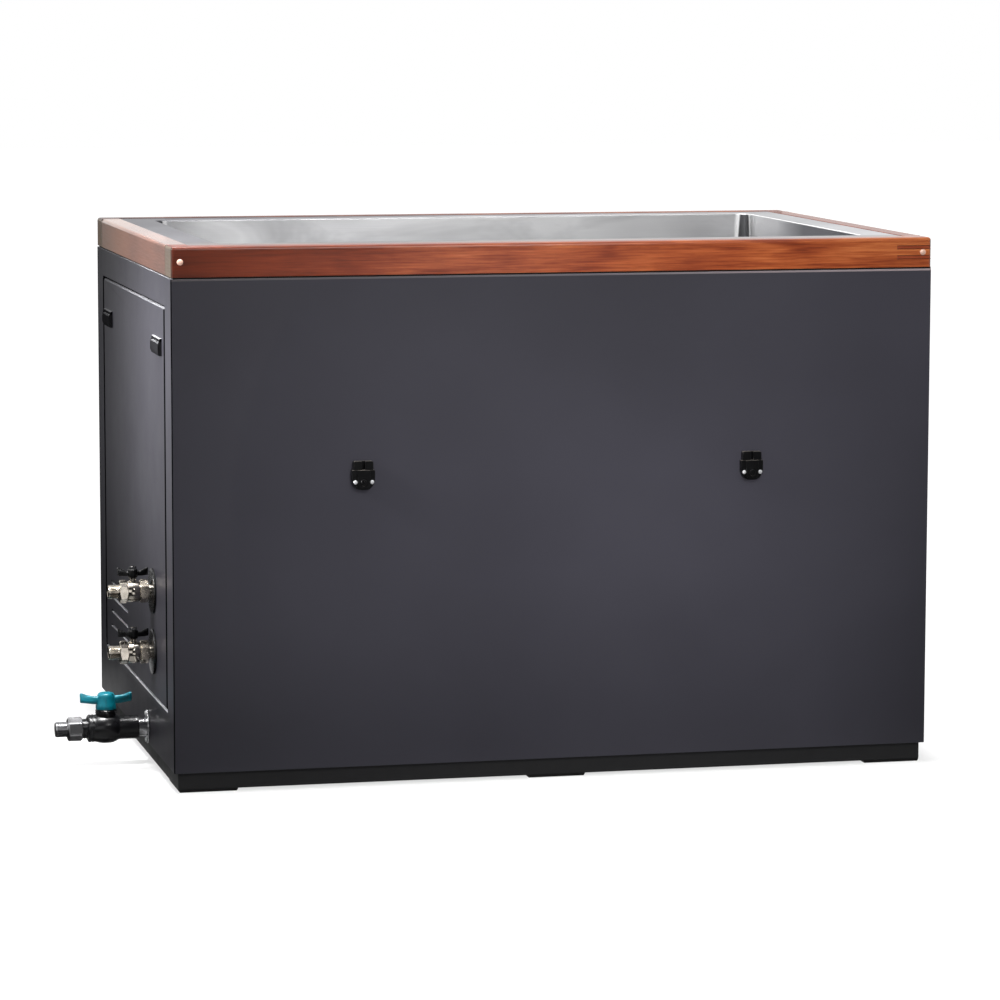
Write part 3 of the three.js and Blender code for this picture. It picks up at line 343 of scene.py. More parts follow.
def piece(name, mesh, material, slot, body="tub", nodes=(), **edges):
    """A new piece of the tub that rides on a body and stands for nodes of the frame."""
    mesh.name = name
    obj = placed(name, mesh)
    for used in material if isinstance(material, list) else [material]:
        mesh.materials.append(used)
    soften(obj, **edges)
    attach(obj, body)
    if nodes:
        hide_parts(*nodes)


def stand_in(node, suffix, mesh, material, slot, body="tub", **edges):
    """A piece that stands for one node of the frame and is named after it."""
    piece(f"{node}_{suffix}", mesh, material, slot, body, [node], **edges)


def dress(node, material, bevel, segments):
    """A node of the frame as it is, with a material and perhaps rounds on its edges."""
    obj = NODES[node]
    obj.data.materials.clear()
    obj.data.materials.append(material)
    if bevel:
        weld = obj.modifiers.new("weld", "WELD")
        weld.merge_threshold = WELD
        flat = obj.modifiers.new("flat", "DECIMATE")
        flat.decimate_type = "DISSOLVE"
        flat.angle_limit = math.radians(1)
        for polygon in obj.data.polygons:
            polygon.use_smooth = True
    soften(obj, bevel, segments, angle=30)


# Materials, as node trees in the frame's metres

NOISE_RANGE = (0.3, 0.7)


def rgb(red, green, blue):
    """A linear colour from screen values of 0 to 255."""

    def linear(value):
        value /= 255
        return value / 12.92 if value <= 0.04045 else ((value + 0.055) / 1.055) ** 2.4

    return (linear(red), linear(green), linear(blue), 1.0)


def darker(colour, share):
    return tuple(share * value for value in colour)


class Nodes:
    """A node tree under construction."""

    def __init__(self, owner):
        owner.use_nodes = True
        self.tree = owner.node_tree

    def feed(self, socket, value):
        """A link into a socket, or its constant."""
        if isinstance(value, bpy.types.NodeSocket):
            self.tree.links.new(value, socket)
        else:
            socket.default_value = value

    def node(self, kind, inputs=None, **settings):
        made = self.tree.nodes.new("ShaderNode" + kind)
        for key, value in settings.items():
            setattr(made, key, value)
        for key, value in (inputs or {}).items():
            self.feed(made.inputs[key], value)
        return made

    def value(self, kind, output, inputs=None, **settings):
        """One output of a new node."""
        return self.node(kind, inputs, **settings).outputs[output]

    def math(self, operation, first, *others):
        """An operation carried through its values from the first to the last."""
        total = first
        for other in others or (0,):
            total = self.value("Math", 0, {0: total, 1: other}, operation=operation)
        return total

    times = partialmethod(math, "MULTIPLY")
    plus = partialmethod(math, "ADD")
    minus = partialmethod(math, "SUBTRACT")
    most = partialmethod(math, "MAXIMUM")
    size = partialmethod(math, "ABSOLUTE")

    def span(self, value, low, high, to_low=0, to_high=1):
        """A value's range turned into another, and held at its ends."""
        ends = {"From Min": low, "From Max": high, "To Min": to_low, "To Max": to_high}
        return self.value("MapRange", "Result", {"Value": value, **ends})

    def area(self, *spans):
        """Where the spans of several values meet, as their product."""
        return self.times(*[self.span(*limits) for limits in spans])

    def seen_directly(self):
        """1 on camera, glossy and transmission rays, which see the plain white background."""
        rays = self.node("LightPath").outputs
        return self.most(*[rays[f"Is {kind} Ray"] for kind in ("Camera", "Glossy", "Transmission")])


class Paint(Nodes):
    """A material under construction."""

    def __init__(self, name, **fixed):
        self.material = bpy.data.materials.new(name)
        super().__init__(self.material)
        self.shader = self.tree.nodes["Principled BSDF"]
        for key, value in fixed.items():
            self.shader.inputs[key.replace("_", " ")].default_value = value
        self.place = self.value("TexCoord", "Object")

    def axis(self, name):
        return self.value("SeparateXYZ", name, {"Vector": self.place})

    def upward(self, low, high):
        """0 to 1 as the surface turns to face up."""
        normal = self.value("NewGeometry", "Normal")
        return self.span(self.value("SeparateXYZ", "Z", {"Vector": normal}), low, high)

    def noise(self, scale, detail=3, rough=0.55, warp=0, shift=(0, 0, 0)):
        """Noise with scale cells a metre, one number or one for each axis."""
        cells = (scale,) * 3 if isinstance(scale, (int, float)) else scale
        mapping = {"Vector": self.place, "Scale": cells, "Location": shift}
        place = self.value("Mapping", "Vector", mapping)
        pattern = {"Scale": 1, "Detail": detail, "Roughness": rough, "Distortion": warp}
        return self.value("TexNoise", "Fac", {"Vector": place, **pattern})

    def vary(self, noise, to_low, to_high):
        """The usual range of a noise turned into another."""
        return self.span(noise, *NOISE_RANGE, to_low, to_high)

    def ramp(self, value, stops):
        """Screen colours at positions between 0 and 1."""
        made = self.node("ValToRGB", {"Fac": value})
        elements = made.color_ramp.elements
        while len(elements) < len(stops):
            elements.new(0.5)
        for element, (position, colour) in zip(elements, stops):
            element.position = position
            element.color = rgb(*colour)
        return made.outputs["Color"]

    def tones(self, noise, dark, pale):
        """Two screen colours over the usual range of a noise."""
        return self.ramp(noise, list(zip(NOISE_RANGE, (dark, pale))))

    def mix(self, factor, under, over):
        """A colour, or screen values, laid over another colour."""
        made = self.node("Mix", data_type="RGBA")
        over = rgb(*over) if isinstance(over, tuple) else over
        for key, value in {"Factor": factor, "A": under, "B": over}.items():
            socket = next(s for s in made.inputs if s.name == key and s.enabled)
            self.feed(socket, value)
        return next(s for s in made.outputs if s.enabled)

    def set(self, socket, value):
        self.tree.links.new(value, self.shader.inputs[socket])

    def complete(self, colour, roughness, relief, depth, strength):
        """The sockets that every material sets, with the relief's depth in millimetres."""
        inputs = {"Height": relief, "Distance": depth * MM, "Strength": strength}
        self.set("Base Color", colour)
        self.set("Roughness", roughness)
        self.set("Normal", self.value("Bump", "Normal", inputs))
        return self.material


# Colours of painted shade, where light falls off the panels and in the grooves, and of painted
# highlights on the panels' top and folded edges.
SHADE = (14, 14, 15)
RECESS_SHADE = (6, 6, 7)
TOP_EDGE_HIGHLIGHT = [(0, (70, 66, 68)), (0.55, (88, 83, 87)), (1, (140, 127, 129))]
END_EDGE_HIGHLIGHT = [(0.5, (226, 226, 230)), (0.9, (142, 142, 146))]


def panel_shade(paint, x, height):
    """How much painted shade darkens the long panels at their ends, near the floor and under the
    rim's middle.
    """
    left = paint.span(x, -0.5, -0.75, 0, 0.16)
    right = paint.area((x, 0.5, 0.75, 0, 0.26), (height, 0.62, 0.86, 1, 0))
    foot = paint.span(height, 0.4, 0.05, 0, 0.2)
    middle = ((x, -0.5, -0.05, 0.6, 1), (x, 0.2, 0.7, 1, 0))
    under_rim = paint.area((height, 0.6, 0.97, 0, 0.32), *middle)
    return paint.plus(left, right, foot, under_rim)


def end_shade(paint, y, height, window):
    """How much painted shade darkens the left end behind the valves, near the floor and under the
    rim, and a little over the service panel.
    """
    behind_valves = paint.area((y, -0.36, -0.1, 0, 0.4), (height, 0.6, 0.25))
    foot = paint.span(height, 0.16, 0.13, 0, 0.58)
    under_rim = paint.span(height, 0.84, 0.97, 0, 0.36)
    return paint.most(behind_valves, foot, under_rim, paint.times(window, 0.08))


def groove_shade(paint, x, away, height, left_end, window):
    """Painted shade: 1 in the groove around the service panel and in the joint at the cabinet's
    corners.
    """
    inside = paint.times(window, paint.span(x, -0.74995, -0.7493))
    beside = ((away, 0.403, 0.404), (away, 0.4215, 0.4205))
    between = ((height, 0.146, 0.147), (height, 0.919, 0.918))
    groove = paint.times(paint.area(*beside, *between), left_end)
    corner = paint.area((x, -0.7487, -0.7489), (away, 0.4915, 0.4917))
    return paint.most(inside, groove, corner)


def cabinet_coat():
    """Satin charcoal powder coat with a fine pebbled skin, painted highlights on its folded edges and
    painted shade where light falls off.
    """
    paint = Paint("cabinet_coat")
    x, y, height = (paint.axis(name) for name in "XYZ")
    away = paint.size(y)
    cloud = paint.vary(paint.noise(2.2, 3), 0, 0.6)
    speck = paint.vary(paint.noise(1400, 2), 0, 0.4)
    colour = paint.ramp(paint.plus(cloud, speck), [(0, (48, 47, 54)), (1, (58, 57, 65))])

    long_side = paint.span(away, 0.4975, 0.498)
    # Painted shade on the long panels.
    colour = paint.mix(paint.times(panel_shade(paint, x, height), long_side), colour, SHADE)
    # A painted highlight on the long panels' top edges, brighter towards the right.
    top_edge = paint.times(paint.span(height, 0.9748, 0.9756), long_side)
    colour = paint.mix(top_edge, colour, paint.ramp(paint.span(x, -0.75, 0.75), TOP_EDGE_HIGHLIGHT))

    left_end = paint.area((x, -0.735, -0.741), (away, 0.4918, 0.4912))
    window = paint.times(left_end, paint.span(away, 0.43, 0.424))
    # Painted shade on the left end.
    painted_end_shade = paint.times(end_shade(paint, y, height, window), left_end)
    # Painted shade in the grooves and the corner joints.
    recess_shade = groove_shade(paint, x, away, height, left_end, window)
    colour = paint.mix(painted_end_shade, colour, SHADE)
    colour = paint.mix(recess_shade, colour, RECESS_SHADE)
    # A painted highlight on the left end's upward folded edges, paler lower down.
    edge_highlight = paint.times(paint.upward(0.3, 0.75), left_end)
    colour = paint.mix(edge_highlight, colour, paint.ramp(height, END_EDGE_HIGHLIGHT))

    # Less shine where shade is painted, which darkens those places further.
    paint.set("Specular IOR Level", paint.span(paint.most(recess_shade, painted_end_shade), 0, 1, 0.2, 0))
    roughness = paint.vary(paint.noise(5, 4), 0.44, 0.54)
    return paint.complete(colour, roughness, paint.noise(750, 2, 0.5), 0.12, 0.35)


def brushed_steel(name, scale, base, rough, anisotropy=0.5):
    """Brushed stainless: fine lines along one direction over a cloudy sheen."""
    paint = Paint(name, Metallic=1, Anisotropic=anisotropy)
    lines = paint.noise(scale, 4, 0.6)
    cloud = paint.noise(4.5, 3)
    tone = paint.plus(paint.times(lines, 0.5), paint.times(cloud, 0.5))
    colour = paint.tones(tone, darker(base, 0.86), base)
    return paint.complete(colour, paint.vary(tone, *rough), lines, 0.04, 0.35)


# The basin's polish; its clouds partly stand in for reflections.
POLISH_AND_REFLECTION = [(0.3, (218, 218, 220)), (0.46, (243, 243, 244)), (0.6, (254, 254, 254))]
POLISH_SHIFT = (0.4, 0, 0.2)
# Painted light on the right wall: dark at the front, pale towards the rear corner.
RIGHT_WALL_LIGHT = [
    (0, (112, 112, 116)),
    (0.52, (134, 134, 138)),
    (0.74, (240, 240, 241)),
    (1, (252, 252, 252)),
]


def basin_wall(paint, x, y, z, cloud, lines):
    """A cloudy polish whose clouds partly stand in for reflections, with a painted dark reflection
    high on the rear wall, painted shade at its ends, painted light on the right wall and painted
    highlight and shade bands down the corners.
    """
    wall = paint.ramp(paint.plus(paint.times(cloud, 0.86), paint.times(lines, 0.14)), POLISH_AND_REFLECTION)

    rear = paint.span(y, 0.386, 0.3945)
    # A painted dark reflection high on the rear wall.
    dark_reflection = paint.noise((2.6, 2.6, 7), 4, 0.6, 0.9, POLISH_SHIFT)
    dark_reflection = paint.area((dark_reflection, 0.34, 0.56, 0.45, 0), (z, 0.7, 0.95))
    wall = paint.mix(paint.times(dark_reflection, rear), wall, (120, 120, 123))
    # Painted shade at the rear wall's ends.
    lit = paint.area((x, -0.63, -0.54, 0.6, 1), (x, -0.2, 0.5, 1, 0.62))
    wall = paint.mix(paint.times(paint.minus(1, lit), rear), wall, (70, 70, 74))

    right = paint.span(x, 0.638, 0.6445)
    reach = paint.plus(paint.span(y, -0.4, 0.4, 0, 0.9), paint.times(cloud, 0.2))
    wall = paint.mix(right, wall, paint.ramp(reach, RIGHT_WALL_LIGHT))

    # A painted highlight and a painted shade band down the basin's rounded corners.
    corner_band = paint.plus(paint.size(x), paint.size(y))
    corner_band = paint.minus(corner_band, paint.span(z, 0.985, 1.036, 0, 0.0025))
    wall = paint.mix(paint.span(corner_band, 1.009, 1.0135), wall, (252, 252, 252))
    return paint.mix(paint.span(corner_band, 1.0172, 1.019), wall, (84, 84, 86))


def basin_flange(paint, x, y, cloud):
    """Dull steel in painted light, paler to the right, with a painted reflection of the wood along
    the front.
    """
    tone = paint.plus(paint.span(x, -0.7, 0.7, 0, 0.8), paint.vary(cloud, 0, 0.2))
    flange = paint.ramp(tone, [(0, (92, 91, 96)), (1, (208, 208, 209))])
    return paint.mix(paint.span(y, -0.39, -0.4, 0, 0.5), flange, (150, 142, 136))


def basin_sheet():
    """Satin stainless with a flange in painted light and a painted highlight on the lip at the right.
    """
    paint = Paint("basin_steel", Anisotropic=0.3, Specular_Tint=(0.8, 0.8, 0.82, 1))
    x, y, z = (paint.axis(name) for name in "XYZ")
    lines = paint.noise((5, 5, 520), 4, 0.6)
    cloud = paint.noise((1.9, 1.9, 4.5), 3, 0.5, 0.25, POLISH_SHIFT)
    wall = basin_wall(paint, x, y, z, cloud, lines)
    flange = basin_flange(paint, x, y, cloud)
    colour = paint.mix(paint.span(z, 1.0362, 1.0368), wall, flange)
    # A painted highlight on the rolled lip at the right: white and not metallic.
    lip_highlight = paint.area((z, 1.0372, 1.0376), (z, 1.0388, 1.0384), (x, 0.635, 0.645))
    colour = paint.mix(lip_highlight, colour, (255, 255, 255))
    paint.set("Metallic", paint.span(lip_highlight, 0, 1, 1, 0))
    return paint.complete(colour, paint.vary(cloud, 0.28, 0.44), lines, 0.04, 0.3)


def plated(name, base, rough, pits=0.3, metal=1):
    """Plate over a casting: bright, with a faint orange peel."""
    paint = Paint(name, Metallic=metal)
    skin = paint.noise(420, 3)
    colour = paint.tones(paint.noise(60, 3), darker(base, 0.82), base)
    return paint.complete(colour, paint.vary(skin, *rough), skin, 0.08, pits)


def moulded(name, base, rough, specular, pits=0.15, grain=1100, top_highlight=None):
    """Plastic with a fine grain and slight flow marks, and perhaps a painted highlight on its upward
    faces.
    """
    paint = Paint(name, Specular_IOR_Level=specular)
    fine = paint.noise(grain, 2)
    flow = paint.noise(35, 3, 0.5, 0.6)
    colour = paint.tones(flow, darker(base, 0.84), base)
    if top_highlight:
        # A painted highlight on upward faces.
        colour = paint.mix(paint.upward(0.5, 0.95), colour, top_highlight)
    return paint.complete(colour, paint.vary(flow, *rough), fine, 0.1, pits)


WOOD = [(0.1, (60, 20, 9)), (0.35, (112, 44, 18)), (0.55, (148, 72, 34)), (0.85, (186, 108, 60))]
# The left rail's painted sheen, darker at the front and paler to the rear.
WOOD_SHEEN = [
    (0.11, (51, 43, 37)),
    (0.5, (94, 65, 52)),
    (0.74, (162, 110, 80)),
    (0.99, (186, 138, 106)),
]
PORE = (58, 24, 14)


def wood_grain(paint, along):
    """The grain along one axis as a tone, with its fibre and its open pores."""

    def grain(length, across, *settings):
        return paint.noise([length if axis == along else across for axis in "XYZ"], *settings)

    figure = grain(1.3, 14, 3, 0.5, 0.5)
    fibre = grain(13, 360, 4, 0.6, 0.2)
    streak = grain(6, 150, 4, 0.65, 0.3)
    pores = grain(85, 1900, 2, 0.5)
    patch = grain(4.2, 9, 3, 0.55, 0.4, (3.1, 1.7, 0.4))
    rings = paint.math("SINE", paint.times(figure, 46))
    tone = paint.plus(
        paint.vary(fibre, 0, 0.24),
        paint.span(streak, 0.25, 0.75, 0, 0.28),
        paint.span(rings, -1, 1, 0, 0.12),
        paint.span(patch, 0.25, 0.75, 0, 0.36),
    )
    return tone, fibre, paint.span(pores, 0.6, 0.72)


def long_rail(paint, tone, pore):
    """Colour and coat of a long rail, darker and duller towards its left end. Its colour along the
    length is partly the boards' own tone and partly painted light and shade.
    """
    x = paint.axis("X")
    board_tone_and_light = paint.plus(paint.span(x, -0.74, -0.2, 0.34, 0.9), paint.span(x, -0.1, 0.6, 0, 0.16))
    colour = paint.ramp(paint.times(tone, board_tone_and_light), WOOD)
    colour = paint.mix(paint.times(pore, 0.35), colour, PORE)
    # Painted shade on the rounded left corner.
    colour = paint.mix(paint.span(x, -0.744, -0.7485, 0, 0.8), colour, (34, 13, 7))
    return colour, paint.span(x, -0.74, -0.1, 0.2, 0.6)


def short_rail(paint, tone, pore):
    """Colour and coat of a short rail. The left one has a painted sheen in its colour, paler to the
    rear, and its coat shines at its rear and on top.
    """
    y = paint.axis("Y")
    left = paint.span(paint.axis("X"), 0.3, -0.3)
    back = paint.span(y, -0.45, 0.45)
    joint = paint.span(paint.size(y), 0.424, 0.429)
    colour = paint.ramp(paint.span(tone, 0, 1, 0.18, 0.62), WOOD)
    colour = paint.mix(paint.times(pore, 0.05), colour, PORE)
    colour = paint.mix(paint.times(left, 0.8), colour, paint.ramp(back, WOOD_SHEEN))
    colour = paint.mix(joint, colour, (52, 26, 18))
    gleam = paint.most(paint.span(back, 0.1, 0.75, 0, 0.8), paint.times(paint.upward(0.5, 0.95), 0.8))
    return colour, paint.span(left, 0, 1, 0.3, gleam)


def hardwood(name, along, rail, gloss):
    """Oiled red-brown hardwood with its grain along one axis."""
    paint = Paint(name, Specular_IOR_Level=0.2, Coat_Weight=1, Coat_Roughness=gloss, Coat_IOR=1.4)
    tone, fibre, pore = wood_grain(paint, along)
    colour, coat = rail(paint, tone, pore)
    paint.set("Coat Weight", coat)
    relief = paint.minus(paint.times(fibre, 0.35), pore)
    return paint.complete(colour, paint.vary(fibre, 0.4, 0.32), relief, 0.1, 0.12)


def pale_rear(paint):
    """The long rails' ends, paler at the rear."""
    return paint.span(paint.axis("Y"), -0.3, 0.3, 0, 0.5), (170, 140, 112)


def glue_lines(paint):
    """The fingers' outlines."""
    from_middle = paint.size(paint.minus(paint.axis("Z"), PLUG_Z * MM))
    from_finger = paint.size(paint.minus(from_middle, (FINGER_LEVELS[1] - PLUG_Z) * MM))
    return paint.span(from_finger, 0.0016, 0.003), (84, 30, 12)


def end_grain(name, dark, pale, specular, mark):
    """Hardwood cut across: small pores over curved rings, and a mark over both."""
    paint = Paint(name, Specular_IOR_Level=specular)
    pores = paint.noise(1500, 2, 0.5)
    rings = paint.noise((20, 5, 130), 4, 0.6, 1.2)
    middle = tuple((a + b) / 2 for a, b in zip(dark, pale))
    colour = paint.ramp(rings, [(0.3, dark), (0.55, middle), (0.8, pale)])
    colour = paint.mix(paint.span(pores, 0.58, 0.68, 0, 0.5), colour, dark)
    factor, over = mark(paint)
    colour = paint.mix(factor, colour, over)
    return paint.complete(colour, paint.vary(rings, 0.3, 0.42), pores, 0.12, 0.3)


def foam_board():
    """Pale closed-cell foam."""
    paint = Paint("foam_board", Specular_IOR_Level=0.2)
    cells = paint.noise(320, 3)
    colour = paint.tones(cells, (206, 194, 146), (230, 220, 178))
    return paint.complete(colour, paint.vary(cells, 0.85, 0.98), cells, 0.6, 0.6)


COAT = cabinet_coat()
BASIN_STEEL = basin_sheet()
FITTING_STEEL = brushed_steel("fitting_steel", (900, 60, 60), (172, 172, 174), (0.12, 0.24))
TUBE = brushed_steel("frame_tube", (30, 30, 700), (170, 172, 176), (0.35, 0.5), anisotropy=0.3)
NICKEL = plated("nickel", (212, 204, 192), (0.09, 0.18), pits=0.12)
SATIN_NICKEL = plated("satin_nickel", (206, 196, 182), (0.18, 0.28), pits=0.2)
DARK_CHROME = plated("dark_chrome", (96, 96, 98), (0.22, 0.32))
ZINC = plated("zinc", (232, 233, 235), (0.34, 0.46), pits=0.2, metal=0.6)
COPPER = plated("copper", (250, 204, 182), (0.4, 0.5), pits=0.2, metal=0.4)
BLACK = moulded("black_plastic", (9, 9, 10), (0.24, 0.34), 0.3)
LATCH_BLACK = moulded("latch_black", (40, 40, 42), (0.4, 0.5), 0, top_highlight=(122, 122, 124))
LOCK_BLACK = moulded("lock_black", (8, 8, 9), (0.3, 0.4), 0.2, top_highlight=(92, 87, 82))
PVC = moulded("black_pvc", (17, 17, 19), (0.2, 0.3), 0.35, pits=0.2)
TEAL = moulded("teal_plastic", (0, 114, 130), (0.28, 0.38), 0.4, pits=0.2)
RUBBER = moulded("foot_rubber", (16, 16, 16), (0.7, 0.85), 0.15, pits=0.5, grain=600)
BASE = moulded("base_board", (30, 30, 31), (0.6, 0.72), 0.15, pits=0.4, grain=300)
WOOD_X = hardwood("hardwood_long", "X", long_rail, 0.24)
WOOD_Y = hardwood("hardwood_short", "Y", short_rail, 0.12)
END_GRAIN = end_grain("end_grain", (56, 46, 37), (78, 66, 54), 0.16, pale_rear)
FINGER_GRAIN = end_grain("finger_grain", (112, 43, 22), (154, 76, 44), 0.3, glue_lines)
FOAM = foam_board()


# Nodes of the frame kept as they are: material, width of the rounds, their segments, names

FEET = ("foot_front_left", "foot_front_right", "foot_rear_left", "foot_rear_right", "centre_runner")
KEPT_NODES = (
    (COAT, 1.0, 3, ("front_panel", "rear_panel", "right_panel")),
    (RUBBER, 0.8, 2, FEET),
    (BASE, 1.5, 3, ("base_slab",)),
    (TUBE, 2.0, 2, ("cabinet_frame",)),
    (FOAM, 0, 2, ("foam_jacket",)),
    (NICKEL, 0, 2, ("suction_valve_ball", "return_valve_ball")),
    (NICKEL, 0, 2, ("suction_valve_stem", "return_valve_stem")),
    (PVC, 0, 2, ("drain_valve_ball", "drain_valve_stem")),
    (FITTING_STEEL, 0.5, 2, ("suction_grate", "return_nozzle", "drain_strainer")),
)

for material, width, segments, names in KEPT_NODES:
    for name in names:
        dress(name, material, width, segments)


# Left end: the surround and the service panel, with soft folded edges along the groove

PANEL_ROUND = 3
PANEL_ARRIS = 0.6
GROOVE_Y = (412.5, 416)
GROOVE_Z = (147, 143.5, 918, 921.5)


def panel_edge(a, b):
    """A wide round where an edge borders the groove on the outer face."""
    outside = near(a.x, FACE_X) and near(b.x, FACE_X)
    upright = near(a.y, b.y) and any(near(abs(a.y), y) for y in GROOVE_Y)
    level = near(a.z, b.z) and any(near(a.z, z) for z in GROOVE_Z)
    return PANEL_ROUND if outside and (upright or level) else PANEL_ARRIS


for name in ("left_surround", "access_panel"):
    panel = made_whole(NODES[name].data.copy())
    panel.materials.clear()
    weigh(panel, PANEL_ROUND, panel_edge)
    edges = {"bevel": PANEL_ROUND, "segments": 4, "by_weight": True}
    stand_in(name, "sheet", panel, COAT, "cabinet_panel", **edges)


# Rim: four rails with rounded outer edges and a finger joint at the right end

RAIL_ROUND = 6
RAIL_ARRIS = 0.5
FINGER_HALF = 3.5
GLUE_GAP = 0.2
PLUG_RADIUS = 5.95
PLUG_DEPTH = 9
PLUG_EDGE = 0.4
PLUG_DOME = 2.1
SEAL_HEIGHT = 3
SEAL_INSET = 0.8
SEAL_LEFT_INSET = 4
SEAL_INNER_INSET = 28


def rail_edge(a, b):
    """A rail's full round on its outer edges, and a small arris on the rest."""
    top = near(a.z, RIM_TOP) and near(b.z, RIM_TOP)
    ends = near(abs(a.x), HALF_WIDTH) and near(a.x, b.x)
    sides = near(abs(a.y), HALF_DEPTH) and near(a.y, b.y)
    return RAIL_ROUND if (top and (ends or sides)) or (ends and sides) else RAIL_ARRIS


def mark_end_grain(mesh, axis, half_length):
    """Faces that lie across the grain at the rail's ends take the second material."""
    for polygon in mesh.polygons:
        across = abs(polygon.normal[axis]) > 0.9
        if across and abs(polygon.center[axis]) / MM > half_length - 1:
            polygon.material_index = 1


def comb(start, end, half):
    """The end of a rail's outline with slots, or with fingers where end lies beyond start."""
    side = [(start, RAIL_BOTTOM)]
    for level in FINGER_LEVELS:
        low, high = level - half, level + half
        side += [(start, low), (end, low), (end, high), (start, high)]
    return [*side, (start, RIM_TOP)]


def make_rim():
    rebate = (-REBATE_X, REBATE_X, -REBATE_Y, REBATE_Y, REBATE_FLOOR, RIM_TOP + 2)
    inner_x = HALF_WIDTH - RAIL_WIDTH
    inner_y = HALF_DEPTH - RAIL_WIDTH
    butt = inner_y - GLUE_GAP
    slots = comb(HALF_WIDTH, inner_x, FINGER_HALF + GLUE_GAP)
    long_outline = [(-HALF_WIDTH, RAIL_BOTTOM), *slots, (-HALF_WIDTH, RIM_TOP)]
    fingers = comb(butt, HALF_DEPTH, FINGER_HALF)
    right_outline = fingers + [(-y, z) for y, z in reversed(fingers)]
    left_outline = [(-butt, RAIL_BOTTOM), (butt, RAIL_BOTTOM), (butt, RIM_TOP), (-butt, RIM_TOP)]
    long_wood = (0, HALF_WIDTH, [WOOD_X, END_GRAIN])
    short_wood = (1, HALF_DEPTH, [WOOD_Y, FINGER_GRAIN])
    rails = (
        ("front", long_outline, inner_y, HALF_DEPTH, long_wood),
        ("rear", long_outline, inner_y, HALF_DEPTH, long_wood),
        ("left", left_outline, inner_x, HALF_WIDTH, short_wood),
        ("right", right_outline, inner_x, HALF_WIDTH, short_wood),
    )
    edges = {"bevel": RAIL_ROUND, "segments": 5, "by_weight": True}
    for side, outline, inner, outer, (axis, half_length, wood) in rails:
        rail = prism(outline, side, (0, 0, 0), inner, outer)
        mesh = carved(shape(rail), shape(block(*rebate)))
        weigh(mesh, RAIL_ROUND, rail_edge)
        mark_end_grain(mesh, axis, half_length)
        stand_in(f"rim_{side}", "rail", mesh, wood, "hardwood", **edges)


def make_plugs():
    profile = [(0, -PLUG_DEPTH), (PLUG_RADIUS, -PLUG_DEPTH)]
    for turn in quarter(7)[:-1]:
        profile.append((PLUG_RADIUS * math.cos(turn), PLUG_EDGE + PLUG_DOME * math.sin(turn)))
    profile.append((0, PLUG_EDGE + PLUG_DOME))
    for end, y in (("front", -HALF_DEPTH), ("rear", HALF_DEPTH)):
        for side, x in (("left", -PLUG_X), ("right", PLUG_X)):
            mesh = shape(turned(profile, end, (x, y, PLUG_Z), 32))
            stand_in(f"rim_plug_{end}_{side}", "cap", mesh, COPPER, "copper_plug")


def make_rim_seal():
    """A dark rubber strip in the gap between the panels and the rim: a seal, and a stand-in for the
    shade in that gap.
    """

    def inset(left, others):
        x0, x1, y = left - HALF_WIDTH, HALF_WIDTH - others, HALF_DEPTH - others
        return [(x0, -y), (x1, -y), (x1, y), (x0, y)]

    outer = inset(SEAL_LEFT_INSET, SEAL_INSET)
    inner = inset(SEAL_INNER_INSET, SEAL_INNER_INSET)
    low, high = RAIL_BOTTOM - SEAL_HEIGHT, RAIL_BOTTOM
    levels = ((outer, low), (outer, high), (inner, high), (inner, low))
    rings = [[(x, y, z) for x, y in outline] for outline, z in levels]
    piece("rim_seal_and_shade", shape(loft(rings, closed=True)), RUBBER, "foot_rubber")


make_rim()
make_plugs()
make_rim_seal()


# Basin: a pressed trough with a rolled mouth and a flat flange

BASIN_CORNER = 28
BASIN_FILLET = 24
BASIN_ROLL = 3


def basin_ring(out, radius, z, half_x=BATH_X, half_y=BATH_Y, steps=8):
    """A rounded rectangle at a level, set out from the bath's walls."""
    ring = []
    corners = ((1, 1, 0), (-1, 1, 90), (-1, -1, 180), (1, -1, 270))
    for way_x, way_y, first in corners:
        for i in range(steps + 1):
            angle = math.radians(first + 90 * i / steps)
            x = way_x * (half_x + out - radius) + radius * math.cos(angle)
            y = way_y * (half_y + out - radius) + radius * math.sin(angle)
            ring.append((x, y, z))
    return ring


def make_basin():
    rings = []
    for turn in quarter(6):
        inset = BASIN_FILLET * (1 - math.sin(turn))
        z = BATH_FLOOR + BASIN_FILLET * (1 - math.cos(turn))
        rings.append(basin_ring(-inset, BASIN_CORNER - inset, z))
    for turn in quarter(6):
        out = BASIN_ROLL * (1 - math.cos(turn))
        z = FLANGE_TOP - BASIN_ROLL + BASIN_ROLL * math.sin(turn)
        rings.append(basin_ring(out, BASIN_CORNER + out, z))

    flange = (REBATE_X - FLANGE_GAP, REBATE_Y - FLANGE_GAP)
    outside = BASIN_CORNER + BASIN_WALL
    low = BASIN_FILLET * 0.3
    rings += [
        basin_ring(-1, 3, FLANGE_TOP, *flange),
        basin_ring(0, 4, FLANGE_TOP - 1, *flange),
        basin_ring(0, 4, REBATE_FLOOR, *flange),
        basin_ring(BASIN_WALL + BASIN_ROLL, outside, REBATE_FLOOR),
        basin_ring(BASIN_WALL, outside, REBATE_FLOOR - BASIN_ROLL),
        basin_ring(BASIN_WALL, outside, BATH_FLOOR + BASIN_FILLET),
        basin_ring(BASIN_WALL - low, BASIN_CORNER, BATH_FLOOR + low),
        basin_ring(BASIN_WALL - BASIN_FILLET, 6, BATH_FLOOR - BASIN_WALL),
    ]
    stand_in("basin", "trough", shape(loft(rings)), BASIN_STEEL, "stainless_basin", angle=50)


make_basin()


# Circulation valves: profiles as (radius, distance out from the panel face or up from the pipe)

